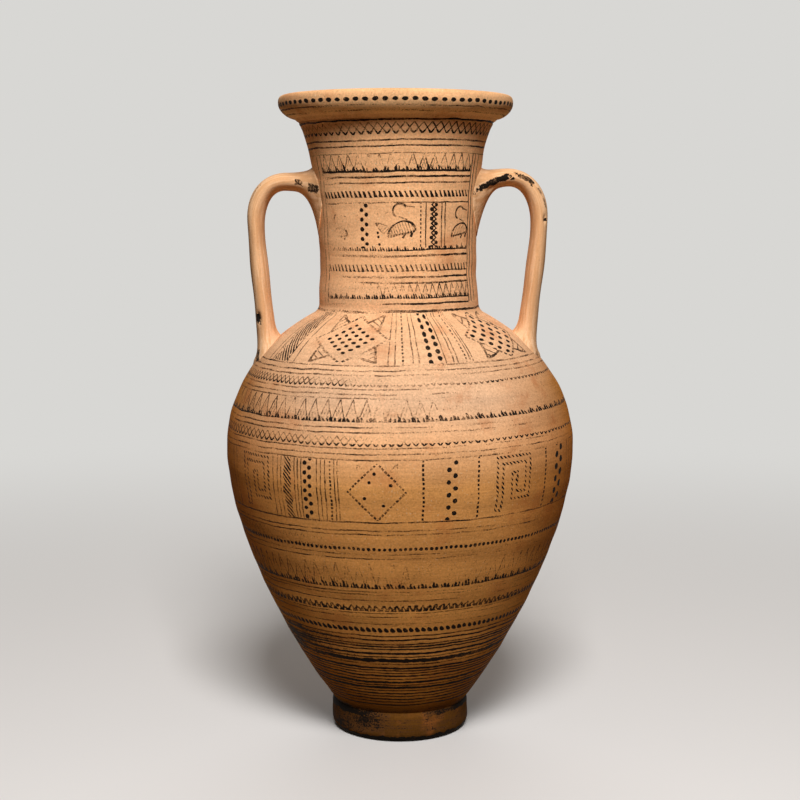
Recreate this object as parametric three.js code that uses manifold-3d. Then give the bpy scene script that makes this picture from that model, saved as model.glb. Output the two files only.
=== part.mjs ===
// Geometric neck-amphora of fired clay: a broad-shouldered jar on a ring foot, with a tall neck,
// a moulded lip and two vertical strap handles from neck to shoulder.
// Millimetres, +Z up. The origin is the centre of the ring that the jar stands on, the front faces
// -Y and the handles lie on the X axis. The potter throws the jar in sections and lutes them
// together with slip, so each section and each handle is a solid of its own.
import * as THREE from "three";
import { mergeVertices } from "three/addons/utils/BufferGeometryUtils.js";
import Module from "manifold-3d";

// Heights of the thrown sections, from the ground up
const FOOT_HEIGHT = 28;
const LOWER_BELLY_HEIGHT = 246;
const UPPER_BELLY_HEIGHT = 134;
const NECK_HEIGHT = 171;
const LIP_HEIGHT = 21;

// Outer radii
const FOOT_RADIUS = 65.5;
const STEM_RADIUS = 63.5;
const BELLY_RADIUS = 164.6;
const NECK_BASE_RADIUS = 75.4;
const NECK_WAIST_RADIUS = 73.6;
const LIP_SEAT_RADIUS = 95;
const LIP_RADIUS = 109.2;

// Clay thickness
const BELLY_WALL = 8;
const NECK_WALL = 7.5;
const LIP_SEAT_WIDTH = 11;
const FLOOR_THICKNESS = 12;
const NECK_THICKENING = 4;

// Foot ring: the flat that it stands on, the recess under the floor, and its softened edges
const FOOT_REST_OUTER_RADIUS = 58.5;
const FOOT_REST_INNER_RADIUS = 47;
const FOOT_RECESS_TOP_RADIUS = 42;
const FOOT_EDGE_RISE = 8;
const FOOT_INNER_EDGE = 3;
const FOOT_INNER_BEVEL = 1;
const FOOT_SHOULDER_DROP = 5;

// Curve of the lower belly: the angle at which it leaves the foot, and how far it holds that
// direction and the upright of the widest point
const STEM_ANGLE_DEG = 52;
const STEM_REACH = 55;
const LOWER_BELLY_FULLNESS = 84;
const FLOOR_ROUNDING = 18;
const FLOOR_FLAT_RADIUS = 40;

// Curve of the upper belly and the hollow fillet where the shoulder meets the neck
const UPPER_BELLY_FULLNESS = 52.5;
const SHOULDER_REACH = 58.5;
const SHOULDER_SLOPE_DEG = 28;
const NECK_FILLET = 10;

// Curve of the neck: slightly drawn in at the waist, then flaring to the lip
const NECK_WAIST_HEIGHT = 32;
const NECK_BASE_UPRIGHT = 10.7;
const NECK_UPRIGHT = 30;
const NECK_FLARE_ANGLE_DEG = 32;
const NECK_FLARE_REACH = 23;

// Moulded lip: the band stands out over the neck, with a rounded brow and a rounded inner edge
const LIP_BAND_HEIGHT = 6.5;
const LIP_UNDERCUT_REACH = 7;
const LIP_UNDERCUT_RISE = 1;
const LIP_BAND_FULLNESS = 7;
const LIP_BROW_REACH = 5;
const LIP_TOP_OUTER_RADIUS = 103.5;
const LIP_TOP_INNER_RADIUS = 97.5;
const LIP_INNER_EDGE = 4;

// Turned groove that marks the joint under the lip
const GROOVE_DEPTH = 1.1;
const GROOVE_WIDTH = 3;
const GROOVE_DROP = 3.5;

// Strap handles, pulled as rolls of clay and luted on. The reach and the crown's place are taken
// from the neck's wall, the seat and the crowns from the joint under the neck.
const HANDLE_THICKNESS = 17;
const HANDLE_WIDTH = 34;
const HANDLE_REACH = 64.4;
const HANDLE_NECK_SEAT = 109;
const HANDLE_NECK_ANGLE_DEG = 10;
const HANDLE_NECK_HOLD = 19;
const HANDLE_CROWN_OUT = 27;
const HANDLE_BEND_DROP = 38;
const HANDLE_CROWN_APPROACH = 12;
const HANDLE_CROWN_HOLD = 18;
const HANDLE_BEND_HOLD = 22;
const HANDLE_GRIP_DROP = 34;
const HANDLE_ROOT_DROP = 40;
const HANDLE_CHANNEL_DEPTH = 1.3;
const HANDLE_CHANNEL_SPREAD = 5.6;
const HANDLE_CHANNEL_WIDTH = 3.4;
const NECK_ROOT_DEPTH = 11;
const SHOULDER_ROOT_DEPTH = 17;
const LUTING_GAP = 0.3;

// Flare of a handle's roots: how far along the roll it reaches from the end buried in the wall,
// and how much the roll's end thickens over and under its middle line and spreads across
const NECK_ROOT = { overLength: 37, over: 15, underLength: 30, under: 36, spread: 13 };
const SHOULDER_ROOT = { overLength: 38, over: 4, underLength: 42, under: 34, spread: 20 };
const ROOT_SHARPNESS = 2.3;

// The two handles were pulled by hand: the crown over the neck joint differs a little, and so does
// the roll's seat on the shoulder, which is set in from the widest point
const LEFT_CROWN = 122;
const RIGHT_CROWN = 126;
const LEFT_SEAT_INSET = 39.8;
const RIGHT_SEAT_INSET = 44.6;
const HANDLES = [
  { name: "handle_left", side: -1, crown: LEFT_CROWN, shoulderSeat: BELLY_RADIUS - LEFT_SEAT_INSET },
  { name: "handle_right", side: 1, crown: RIGHT_CROWN, shoulderSeat: BELLY_RADIUS - RIGHT_SEAT_INSET },
];

// Fineness
const TURNS = 52;
const BELLY_STEPS = 11;
const NECK_STEPS = 8;
const FLOOR_STEPS = 5;
const FILLET_STEPS = 3;
const EDGE_STEPS = 4;
const LIP_STEPS = 6;
const HANDLE_STEPS = 34;
const HANDLE_SIDES = 22;
const WELD = 1e-4;

// Levels of the joints between the sections
const STEM_Z = FOOT_HEIGHT;
const BELLY_Z = STEM_Z + LOWER_BELLY_HEIGHT;
const NECK_Z = BELLY_Z + UPPER_BELLY_HEIGHT;
const LIP_Z = NECK_Z + NECK_HEIGHT;
const TOP_Z = LIP_Z + LIP_HEIGHT;

const CLAY = { roughness: 0.82, metalness: 0 };
const wasm = await Module();
wasm.setup();

const point = (radius, height) => new THREE.Vector2(radius, height);
const direction = (degrees) =>
  point(Math.cos(THREE.MathUtils.degToRad(degrees)), Math.sin(THREE.MathUtils.degToRad(degrees)));

// A cubic curve from one point and direction to another, as steps + 1 points
function sweep(start, leave, end, arrive, steps) {
  return new THREE.CubicBezierCurve(
    start,
    start.clone().add(leave),
    end.clone().sub(arrive),
    end,
  ).getPoints(steps);
}

// Joins stretches of an outline, leaving out a point that repeats the one before it
function outline(...stretches) {
  const points = [];
  for (const next of stretches.flat()) {
    const last = points[points.length - 1];
    if (!last || last.distanceTo(next) > WELD) points.push(next);
  }
  return points;
}

// The outline moved square to itself by the distance wanted at each share of it: inwards for a
// wall, outwards for a clearance. Its ends move level, because each section ends on a flat joint.
function offset(points, distanceAt) {
  const last = points.length - 1;
  return points.map((at, i) => {
    const distance = distanceAt(i / last);
    if (i === 0 || i === last) return point(at.x + distance, at.y);
    const along = points[i + 1].clone().sub(points[i - 1]).normalize();
    return point(at.x + along.y * distance, at.y - along.x * distance);
  });
}

// Outer face of the lower belly, from the stem up to the widest point
const lowerBelly = sweep(
  point(STEM_RADIUS, STEM_Z),
  direction(STEM_ANGLE_DEG).multiplyScalar(STEM_REACH),
  point(BELLY_RADIUS, BELLY_Z),
  point(0, LOWER_BELLY_FULLNESS),
  BELLY_STEPS,
);

// Outer face of the upper belly: over the shoulder, then the hollow fillet up to the neck
const shoulderDirection = direction(180 - SHOULDER_SLOPE_DEG);
const filletCentre = point(NECK_BASE_RADIUS + NECK_FILLET, NECK_Z);
const shoulderEnd = point(
  filletCentre.x - NECK_FILLET * shoulderDirection.y,
  filletCentre.y + NECK_FILLET * shoulderDirection.x,
);
const shoulder = sweep(
  point(BELLY_RADIUS, BELLY_Z),
  point(0, UPPER_BELLY_FULLNESS),
  shoulderEnd,
  shoulderDirection.clone().multiplyScalar(SHOULDER_REACH),
  BELLY_STEPS,
);
const neckFillet = Array.from({ length: FILLET_STEPS + 1 }, (_, i) => {
  const fromEnd = THREE.MathUtils.degToRad(90 - SHOULDER_SLOPE_DEG) * (1 - i / FILLET_STEPS);
  return point(
    filletCentre.x - NECK_FILLET * Math.cos(fromEnd),
    filletCentre.y - NECK_FILLET * Math.sin(fromEnd),
  );
});
const upperBelly = outline(shoulder, neckFillet);

// Outer face of the neck, with the turned groove just under the lip
const waist = point(NECK_WAIST_RADIUS, NECK_Z + NECK_WAIST_HEIGHT);
const neckFace = outline(
  sweep(
    point(NECK_BASE_RADIUS, NECK_Z),
    point(0, NECK_BASE_UPRIGHT),
    waist,
    point(0, NECK_BASE_UPRIGHT),
    FILLET_STEPS,
  ),
  sweep(
    waist,
    point(0, NECK_UPRIGHT),
    point(LIP_SEAT_RADIUS, LIP_Z),
    direction(NECK_FLARE_ANGLE_DEG).multiplyScalar(NECK_FLARE_REACH),
    NECK_STEPS,
  ),
);

// Radius of an outline at a height, and its height at a radius
function radiusAt(points, height) {
  const i = points.findIndex((p, k) => k > 0 && p.y >= height);
  const share = (height - points[i - 1].y) / (points[i].y - points[i - 1].y);
  return THREE.MathUtils.lerp(points[i - 1].x, points[i].x, share);
}
function heightAt(points, radius) {
  const i = points.findIndex((p, k) => k > 0 && p.x <= radius && points[k - 1].x > radius);
  const share = (radius - points[i - 1].x) / (points[i].x - points[i - 1].x);
  return THREE.MathUtils.lerp(points[i - 1].y, points[i].y, share);
}

// Inner faces. The walls thin a little up the shoulder, and the neck's wall thickens level by
// level, late for a high NECK_THICKENING, to the width that the lip sits on.
const floorTop = STEM_Z + FLOOR_THICKNESS;
const lowerWall = offset(lowerBelly, () => -BELLY_WALL).filter(
  (p) => p.y > floorTop + FLOOR_ROUNDING,
);
const lowerInside = outline(
  sweep(
    point(0, floorTop),
    point(FLOOR_FLAT_RADIUS, 0),
    lowerWall[0],
    lowerWall[1].clone().sub(lowerWall[0]).setLength(FLOOR_ROUNDING),
    FLOOR_STEPS,
  ),
  lowerWall,
);
const upperInside = offset(upperBelly, (up) => -THREE.MathUtils.lerp(BELLY_WALL, NECK_WALL, up));
const neckInside = neckFace.map((p) => {
  const up = (p.y - NECK_Z) / NECK_HEIGHT;
  return point(p.x - THREE.MathUtils.lerp(NECK_WALL, LIP_SEAT_WIDTH, up ** NECK_THICKENING), p.y);
});

// A closed outline turned about Z. TURNS is a multiple of four, so every ring reaches the axes.
function turned(profile) {
  return new THREE.LatheGeometry(profile, TURNS).rotateX(Math.PI / 2);
}

function lowerBellyGeometry() {
  const inside = lowerInside.slice().reverse();
  return turned([point(0, STEM_Z), ...lowerBelly, ...inside]);
}

function ringGeometry(outside, inside) {
  const loop = [...outside, ...inside.slice().reverse()];
  return turned([...loop, loop[0]]);
}

function footGeometry() {
  const outside = outline(
    sweep(
      point(FOOT_REST_OUTER_RADIUS, 0),
      point(FOOT_EDGE_RISE / 2, 0),
      point(FOOT_RADIUS, FOOT_EDGE_RISE),
      point(0, FOOT_EDGE_RISE / 2),
      EDGE_STEPS,
    ),
    sweep(
      point(FOOT_RADIUS, FOOT_HEIGHT - FOOT_SHOULDER_DROP),
      point(0, FOOT_SHOULDER_DROP / 2),
      point(STEM_RADIUS, FOOT_HEIGHT),
      point(-(FOOT_RADIUS - STEM_RADIUS) / 2, 0),
      EDGE_STEPS,
    ),
  );
  const inside = [
    point(FOOT_REST_INNER_RADIUS, 0),
    point(FOOT_REST_INNER_RADIUS - FOOT_INNER_BEVEL, FOOT_INNER_EDGE),
    point(FOOT_RECESS_TOP_RADIUS, FOOT_HEIGHT),
  ];
  return ringGeometry(outside, inside);
}

function upperBellyGeometry() {
  return ringGeometry(upperBelly, upperInside);
}

function neckGeometry() {
  const grooveMiddle = LIP_Z - GROOVE_DROP;
  const groove = [-1, 0, 1].map((side) => {
    const height = grooveMiddle + (side * GROOVE_WIDTH) / 2;
    const depth = side === 0 ? GROOVE_DEPTH : 0;
    return point(radiusAt(neckFace, height) - depth, height);
  });
  const below = neckFace.filter((p) => p.y < groove[0].y - WELD);
  const above = neckFace.filter((p) => p.y > groove[2].y + WELD);
  return ringGeometry([...below, ...groove, ...above], neckInside);
}

function lipGeometry() {
  const seat = point(LIP_SEAT_RADIUS, LIP_Z);
  const undercut = point(LIP_UNDERCUT_REACH, LIP_UNDERCUT_RISE);
  const band = point(LIP_RADIUS, TOP_Z - LIP_BAND_HEIGHT);
  const outside = outline(
    sweep(seat, undercut, band, point(0, LIP_BAND_FULLNESS), LIP_STEPS),
    sweep(
      band,
      point(0, LIP_BAND_HEIGHT / 2),
      point(LIP_TOP_OUTER_RADIUS, TOP_Z),
      point(-LIP_BROW_REACH, 0),
      EDGE_STEPS,
    ),
  );
  const topInner = point(LIP_TOP_INNER_RADIUS, TOP_Z);
  const seatInner = point(LIP_SEAT_RADIUS - LIP_SEAT_WIDTH, LIP_Z);
  const fall = seatInner.clone().sub(topInner).setLength(LIP_INNER_EDGE);
  const inside = sweep(topInner, point(-LIP_INNER_EDGE, 0), seatInner, fall, EDGE_STEPS);
  return ringGeometry(outside, inside.reverse());
}

// A closed mesh as a manifold-3d solid, and a solid back as a geometry
function toSolid(geometry) {
  const bare = new THREE.BufferGeometry();
  bare.setAttribute("position", geometry.getAttribute("position"));
  bare.setIndex(geometry.getIndex());
  const merged = mergeVertices(bare, WELD);
  return new wasm.Manifold(
    new wasm.Mesh({
      numProp: 3,
      vertProperties: new Float32Array(merged.attributes.position.array),
      triVerts: new Uint32Array(merged.index.array),
    }),
  );
}
function toGeometry(solid) {
  const mesh = solid.getMesh();
  const geometry = new THREE.BufferGeometry();
  geometry.setAttribute("position", new THREE.BufferAttribute(mesh.vertProperties, 3));
  geometry.setIndex(new THREE.BufferAttribute(mesh.triVerts, 1));
  const faceted = geometry.toNonIndexed();
  faceted.computeVertexNormals();
  return faceted;
}

// The space that the jar's wall takes up, with the luting gap, cut from the handles' roots
function wallEnvelope() {
  const wall = offset(outline(upperBelly, neckFace), () => LUTING_GAP);
  return toSolid(turned([point(0, BELLY_Z), ...wall, point(0, LIP_Z)]));
}

// Middle line of a handle in the X-Z plane, drawn for the right side: out of the neck, over the
// crown, round the bend, down the grip and into the shoulder
function handlePath(handle) {
  const half = HANDLE_THICKNESS / 2;
  const seatZ = NECK_Z + HANDLE_NECK_SEAT;
  const wall = radiusAt(neckFace, seatZ);
  const start = point(wall - NECK_ROOT_DEPTH, seatZ);
  const crown = point(wall + HANDLE_CROWN_OUT, NECK_Z + handle.crown - half);
  const bend = point(wall + HANDLE_REACH - half, crown.y - HANDLE_BEND_DROP);
  const seatLevel = heightAt(upperBelly, handle.shoulderSeat);
  const end = point(handle.shoulderSeat, seatLevel - SHOULDER_ROOT_DEPTH);
  const out = direction(HANDLE_NECK_ANGLE_DEG).multiplyScalar(HANDLE_NECK_HOLD);
  const stretches = [
    [start, out, crown, point(HANDLE_CROWN_APPROACH, 0)],
    [crown, point(HANDLE_CROWN_HOLD, 0), bend, point(0, -HANDLE_BEND_HOLD)],
    [bend, point(0, -HANDLE_GRIP_DROP), end, point(0, -HANDLE_ROOT_DROP)],
  ];
  const path = new THREE.CurvePath();
  for (const [from, leave, to, arrive] of stretches)
    path.add(new THREE.CubicBezierCurve(from, from.clone().add(leave), to.clone().sub(arrive), to));
  return path;
}

// Share of a root's flare at a distance along the roll: 1 at its buried end, 0 on the grip
function flare(distance, reach) {
  return Math.max(1 - distance / reach, 0) ** ROOT_SHARPNESS;
}

// A strap with rounded edges and two shallow channels along its outer face, lofted along the path
function handleGeometry(handle, envelope) {
  const path = handlePath(handle);
  const length = path.getLength();
  const rings = [];
  for (let i = 0; i <= HANDLE_STEPS; i++) {
    // The rings stand closer together towards both roots
    const even = i / HANDLE_STEPS;
    const share = (even + (1 - Math.cos(Math.PI * even)) / 2) / 2;
    const at = path.getPointAt(share);
    const along = path.getTangentAt(share);
    const roots = [
      [NECK_ROOT, length * share],
      [SHOULDER_ROOT, length * (1 - share)],
    ];
    const total = (size, reach) =>
      roots.reduce((sum, [root, from]) => sum + root[size] * flare(from, root[reach]), 0);
    const over = HANDLE_THICKNESS / 2 + total("over", "overLength");
    const under = HANDLE_THICKNESS / 2 + total("under", "underLength");
    const across = HANDLE_WIDTH / 2 + total("spread", "overLength");
    const grip = roots.reduce((left, [root, from]) => left * (1 - flare(from, root.overLength)), 1);
    for (let k = 0; k < HANDLE_SIDES; k++) {
      const turn = (2 * Math.PI * k) / HANDLE_SIDES;
      const y = across * Math.cos(turn);
      const channels = [-1, 1].map((side) => {
        const from = (y - side * HANDLE_CHANNEL_SPREAD) / HANDLE_CHANNEL_WIDTH;
        return HANDLE_CHANNEL_DEPTH * Math.exp(-from * from);
      });
      const rise =
        Math.sin(turn) > 0
          ? over * Math.sin(turn) - grip * Math.sin(turn) * (channels[0] + channels[1])
          : under * Math.sin(turn);
      // The outer face lies on the left of the path, which runs clockwise over the crown
      rings.push(handle.side * (at.x - along.y * rise), y, at.y + along.x * rise);
    }
  }
  const indices = [];
  const face = (a, b, c) => indices.push(a, ...(handle.side < 0 ? [b, c] : [c, b]));
  for (let i = 0; i < HANDLE_STEPS; i++) {
    for (let k = 0; k < HANDLE_SIDES; k++) {
      const next = (k + 1) % HANDLE_SIDES;
      const [a, b] = [i * HANDLE_SIDES + k, i * HANDLE_SIDES + next];
      const [c, d] = [a + HANDLE_SIDES, b + HANDLE_SIDES];
      face(a, c, b);
      face(b, c, d);
    }
  }
  const lastRing = HANDLE_STEPS * HANDLE_SIDES;
  for (let k = 1; k < HANDLE_SIDES - 1; k++) {
    face(0, k, k + 1);
    face(lastRing, lastRing + k + 1, lastRing + k);
  }
  const roll = new THREE.BufferGeometry();
  roll.setAttribute("position", new THREE.Float32BufferAttribute(rings, 3));
  roll.setIndex(indices);
  return toGeometry(toSolid(roll).subtract(envelope));
}

function piece(name, geometry, colour) {
  const mesh = new THREE.Mesh(geometry, new THREE.MeshStandardMaterial({ color: colour, ...CLAY }));
  mesh.name = name;
  return mesh;
}

const amphora = new THREE.Group();
amphora.add(
  piece("foot_ring", footGeometry(), 0x8c5a2b),
  piece("lower_belly", lowerBellyGeometry(), 0xb9824a),
  piece("upper_belly", upperBellyGeometry(), 0xc9935a),
  piece("neck", neckGeometry(), 0xc8905a),
  piece("mouth_rim", lipGeometry(), 0xe0ac74),
);
const envelope = wallEnvelope();
for (const handle of HANDLES)
  amphora.add(piece(handle.name, handleGeometry(handle, envelope), 0xd9a06a));

export default amphora;
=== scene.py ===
"""A geometric neck-amphora of painted clay, dressed for the picture.

The jar is lathed section by section and its handles are lofted, in the space that the packed
solids hold. The painted ornament is laid over the wall by height above the ground and by degrees
round the jar from its front. Sizes are millimetres, angles are degrees, meshes are metres.
"""

import functools
import logging
import math
import operator
from abc import ABC, abstractmethod
from dataclasses import dataclass, field
from enum import Enum
from typing import Callable, Iterable, Mapping, Sequence, Union

import bpy
import numpy as np
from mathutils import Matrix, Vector


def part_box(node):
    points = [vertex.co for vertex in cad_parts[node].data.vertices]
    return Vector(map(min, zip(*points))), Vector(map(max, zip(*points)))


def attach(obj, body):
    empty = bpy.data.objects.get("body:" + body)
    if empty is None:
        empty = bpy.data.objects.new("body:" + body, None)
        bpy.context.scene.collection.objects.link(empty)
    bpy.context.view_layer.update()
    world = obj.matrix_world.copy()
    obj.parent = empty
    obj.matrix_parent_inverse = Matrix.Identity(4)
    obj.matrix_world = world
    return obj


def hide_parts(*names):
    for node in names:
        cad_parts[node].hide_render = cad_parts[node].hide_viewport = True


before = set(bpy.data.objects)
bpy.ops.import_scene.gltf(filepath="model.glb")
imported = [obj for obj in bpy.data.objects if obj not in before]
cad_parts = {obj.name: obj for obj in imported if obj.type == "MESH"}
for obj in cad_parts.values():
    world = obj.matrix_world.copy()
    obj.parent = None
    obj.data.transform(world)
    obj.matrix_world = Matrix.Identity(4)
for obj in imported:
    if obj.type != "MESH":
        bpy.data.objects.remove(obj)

LOG = logging.getLogger("amphora")
METRES = 0.001
SURFACE_MAP = "OFBake"
THIN_STROKE = 0.8
BOLD_STROKE = 1.25
ALL_ROUND = 180.0
PULLED = "pulled"
BODY = "root"
ON_AXIS = 1e-6
Colour = tuple[float, float, float]
Pair = tuple[float, float]
Number = Union[float, "Wire"]
Material = bpy.types.Material
Socket = bpy.types.NodeSocket


def paint_tin(red: int, green: int, blue: int) -> Colour:
    """Turns a colour as the eye reads it on a screen into the linear one that light works with.

    Args:
        red: Red from 0 to 255.
        green: Green from 0 to 255.
        blue: Blue from 0 to 255.

    Returns:
        The linear colour.
    """
    shares = np.array([red, green, blue]) / 255
    linear = np.where(shares <= 0.04045, shares / 12.92, ((shares + 0.055) / 1.055) ** 2.4)
    return tuple(float(share) for share in linear)


def pairing(operation: str, meaning: str,
            turned: bool = False) -> Callable[["Wire", Number], "Wire"]:
    """Makes an operator of Wire that adds a Math node.

    Args:
        operation: What the node works out.
        meaning: The operator's docstring.
        turned: Whether the wire comes second.

    Returns:
        The operator.
    """
    def work(self: "Wire", other: Number) -> "Wire":
        """Adds the node; each operator's own docstring takes this one's place."""
        return self.bench.maths(operation, *((other, self) if turned else (self, other)))

    work.__doc__ = meaning
    return work


def span(low: float, high: float) -> tuple[float, float]:
    """The middle of a stretch and its half length."""
    return (low + high) / 2, (high - low) / 2


def set_down(name: str, data: bpy.types.ID) -> bpy.types.Object:
    """Adds an object that shows the data to the scene.

    Args:
        name: The object's name.
        data: Its mesh, lamp or camera.

    Returns:
        The object.
    """
    made = bpy.data.objects.new(name, data)
    bpy.context.scene.collection.objects.link(made)
    return made


class Wire:
    """A number that varies over a surface: a socket that arithmetic can be done with."""

    def __init__(self, bench: "Bench", socket: Socket) -> None:
        """Wraps a socket of the bench's node tree."""
        self.bench = bench
        self.socket = socket

    __add__ = __radd__ = pairing("ADD", "Sum.")
    __sub__ = pairing("SUBTRACT", "Difference.")
    __rsub__ = pairing("SUBTRACT", "Difference, from a plain number.", turned=True)
    __mul__ = __rmul__ = pairing("MULTIPLY", "Product.")
    __truediv__ = pairing("DIVIDE", "Quotient.")
    __pow__ = pairing("POWER", "Power.")
    __lt__ = pairing("LESS_THAN", "1 where this is less than the other, and 0 elsewhere.")
    __gt__ = pairing("GREATER_THAN", "1 where this is more than the other, and 0 elsewhere.")
    __and__ = pairing("MULTIPLY", "Where both masks are.")
    __or__ = pairing("MAXIMUM", "Where either mask is, at the stronger one's strength.")
    least = pairing("MINIMUM", "The smaller of the two.")

    def __abs__(self) -> "Wire":
        """Size without its sign."""
        return self.bench.maths("ABSOLUTE", self)

    def near(self, place: Number, reach: Number) -> "Wire":
        """1 within reach of a place, and 0 elsewhere."""
        return self.bench.maths("COMPARE", self, place, reach)

    def swing(self) -> "Wire":
        """Distance to the nearest whole number, from 0 to a half."""
        return self.bench.maths("PINGPONG", self, 0.5)

    def ease(self, low: float, high: float) -> "Wire":
        """Rises softly from 0 at low to 1 at high."""
        return self.bench.spread(self, low, high, "SMOOTHSTEP")

    def ramp(self, low: float, high: float) -> "Wire":
        """Rises evenly from 0 at low to 1 at high."""
        return self.bench.spread(self, low, high, "LINEAR")


Value = Union[float, Sequence[float], Wire, Socket]


def either(masks: Iterable[Wire]) -> Wire:
    """Where any of the masks is, each folded in as soon as it is made."""
    return functools.reduce(operator.or_, masks)


def oval(aside: Wire, level: Wire) -> Wire:
    """Squared distance from the middle of an oval whose edge is at 1."""
    return aside * aside + level * level


class Bench:
    """The node tree of a material or a world, and the few ways in which nodes are added to it."""

    def __init__(self, owner: Union[Material, bpy.types.World]) -> None:
        """Empties the owner's node tree, to start afresh.

        Args:
            owner: The material or world whose tree it is.
        """
        self.owner = owner
        self.owner.use_nodes = True
        self.tree = owner.node_tree
        self.tree.nodes.clear()

    @classmethod
    def for_material(cls, name: str) -> "Bench":
        """The bench of a new material of that name."""
        return cls(bpy.data.materials.new(name))

    def node(self, kind: str, settings: Mapping[str, object] = {},
             inputs: Mapping[Union[str, int], Value] = {}) -> bpy.types.Node:
        """Adds one node.

        Args:
            kind: The node's type.
            settings: Its properties, set first; stops are a colour ramp's.
            inputs: A value or a link for each socket, by name or number.

        Returns:
            The node.
        """
        made = self.tree.nodes.new(kind)
        for name, setting in settings.items():
            if name == "stops":
                self._set_stops(made.color_ramp, setting)
            else:
                setattr(made, name, setting)
        for key, value in inputs.items():
            if isinstance(value, Wire):
                value = value.socket
            if isinstance(value, Socket):
                self.tree.links.new(value, made.inputs[key])
            else:
                made.inputs[key].default_value = value
        return made

    @staticmethod
    def _set_stops(ramp: bpy.types.ColorRamp, stops: Sequence[tuple[float, Colour]]) -> None:
        """Gives a colour ramp its stops, lowest first.

        Args:
            ramp: The ramp.
            stops: Place and colour of each stop.
        """
        while len(ramp.elements) < len(stops):
            ramp.elements.new(1.0)
        for element, (place, colour) in zip(ramp.elements, stops):
            element.position = place
            element.color = (*colour, 1.0)

    def maths(self, operation: str, *values: Number) -> Wire:
        """Adds a Math node.

        Args:
            operation: What it works out.
            values: Its inputs in order.

        Returns:
            Its result.
        """
        made = self.node("ShaderNodeMath", {"operation": operation}, dict(enumerate(values)))
        return Wire(self, made.outputs[0])

    def spread(self, value: Wire, low: float, high: float, way: str) -> Wire:
        """Maps low to 0 and high to 1, held there beyond.

        Args:
            value: What is mapped.
            low: What becomes 0.
            high: What becomes 1.
            way: How it rises in between.

        Returns:
            The mapped value.
        """
        settings = {"interpolation_type": way, "clamp": True}
        inputs = {"Value": value, "From Min": low, "From Max": high}
        return Wire(self, self.node("ShaderNodeMapRange", settings, inputs).outputs["Result"])

    def vector(self, operation: str, *values: Value) -> Socket:
        """Adds a Vector Math node and returns its vector."""
        made = self.node("ShaderNodeVectorMath", {"operation": operation}, dict(enumerate(values)))
        return made.outputs["Vector"]

    def millimetres(self) -> Socket:
        """The point on the surface, in millimetres."""
        point = self.node("ShaderNodeTexCoord").outputs["Object"]
        return self.vector("MULTIPLY", point, (1 / METRES,) * 3)

    def split(self, vector: Socket) -> tuple[Wire, Wire, Wire]:
        """Splits a vector into its three numbers."""
        made = self.node("ShaderNodeSeparateXYZ", {}, {"Vector": vector})
        return tuple(Wire(self, made.outputs[axis]) for axis in "XYZ")

    def noise(self, where: Value, grain: float, detail: float = 2.0,
              roughness: float = 0.5) -> bpy.types.Node:
        """Adds a noise whose patches are about one grain across, in the units of where."""
        inputs = {"Vector": where, "Scale": 1 / grain, "Detail": detail, "Roughness": roughness}
        return self.node("ShaderNodeTexNoise", {}, inputs)

    def cloud(self, where: Value, grain: float, detail: float = 2.0,
              roughness: float = 0.5) -> Wire:
        """A noise's value, which stays around a half."""
        return Wire(self, self.noise(where, grain, detail, roughness).outputs[0])

    def mix(self, share: Number, first: Value, second: Value, blend: str = "MIX") -> Socket:
        """Mixes two colours.

        Args:
            share: How much of the second colour there is.
            first: The colour under it.
            second: The colour over it.
            blend: How the second one is laid on.

        Returns:
            The mixed colour.
        """
        padded = [(*tone, 1.0) if isinstance(tone, tuple) else tone for tone in (first, second)]
        settings = {"data_type": "RGBA", "blend_type": blend}
        made = self.node("ShaderNodeMix", settings, {0: share, 6: padded[0], 7: padded[1]})
        return made.outputs[2]

    def finish(self, settings: Mapping[str, Value]) -> Material:
        """Ends the tree in a Principled shader.

        Args:
            settings: A value or a link for each of the shader's sockets.

        Returns:
            The material.
        """
        shader = self.node("ShaderNodeBsdfPrincipled", {}, settings)
        self.node("ShaderNodeOutputMaterial", {}, {"Surface": shader.outputs[0]})
        return self.owner


def curve(start: Sequence[float], leave: Sequence[float], end: Sequence[float],
          arrive: Sequence[float], step: float) -> np.ndarray:
    """A cubic curve from one point and direction to another, in even steps along it.

    Args:
        start: First point.
        leave: From the first point to its control point.
        end: Last point.
        arrive: From the last point's control point to the last point.
        step: Distance between the points that are kept.

    Returns:
        The points, one a row.
    """
    start, leave, end, arrive = (np.asarray(part, float) for part in (start, leave, end, arrive))
    t = np.linspace(0, 1, 400)[:, None]
    control = ((1 - t) ** 3 * start + 3 * (1 - t) ** 2 * t * (start + leave)
               + 3 * (1 - t) * t ** 2 * (end - arrive) + t ** 3 * end)
    return even(control, step)


def lengths(points: np.ndarray) -> np.ndarray:
    """How far along a chain of points each of them lies."""
    return np.concatenate([[0], np.cumsum(np.linalg.norm(np.diff(points, axis=0), axis=1))])


def directions(points: np.ndarray) -> np.ndarray:
    """Unit direction of a chain of points at each of them."""
    along = np.gradient(points, axis=0)
    return along / np.linalg.norm(along, axis=1)[:, None]


def even(points: np.ndarray, step: float) -> np.ndarray:
    """Keeps points at even steps along a chain of points, both ends among them.

    Args:
        points: The chain's points, one a row.
        step: About how far apart they end up.

    Returns:
        The points that are kept.
    """
    along = lengths(points)
    count = max(int(round(along[-1] / step)), 1)
    places = np.linspace(0, along[-1], count + 1)
    return np.column_stack([np.interp(places, along, column) for column in points.T])


def heading(degrees: float) -> np.ndarray:
    """Unit direction in the plane of radius and height, from level outwards."""
    return np.array([math.cos(math.radians(degrees)), math.sin(math.radians(degrees))])


def chain(*stretches: np.ndarray) -> np.ndarray:
    """Joins stretches that each start where the one before ended."""
    return np.vstack([stretches[0]] + [stretch[1:] for stretch in stretches[1:]])


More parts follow.
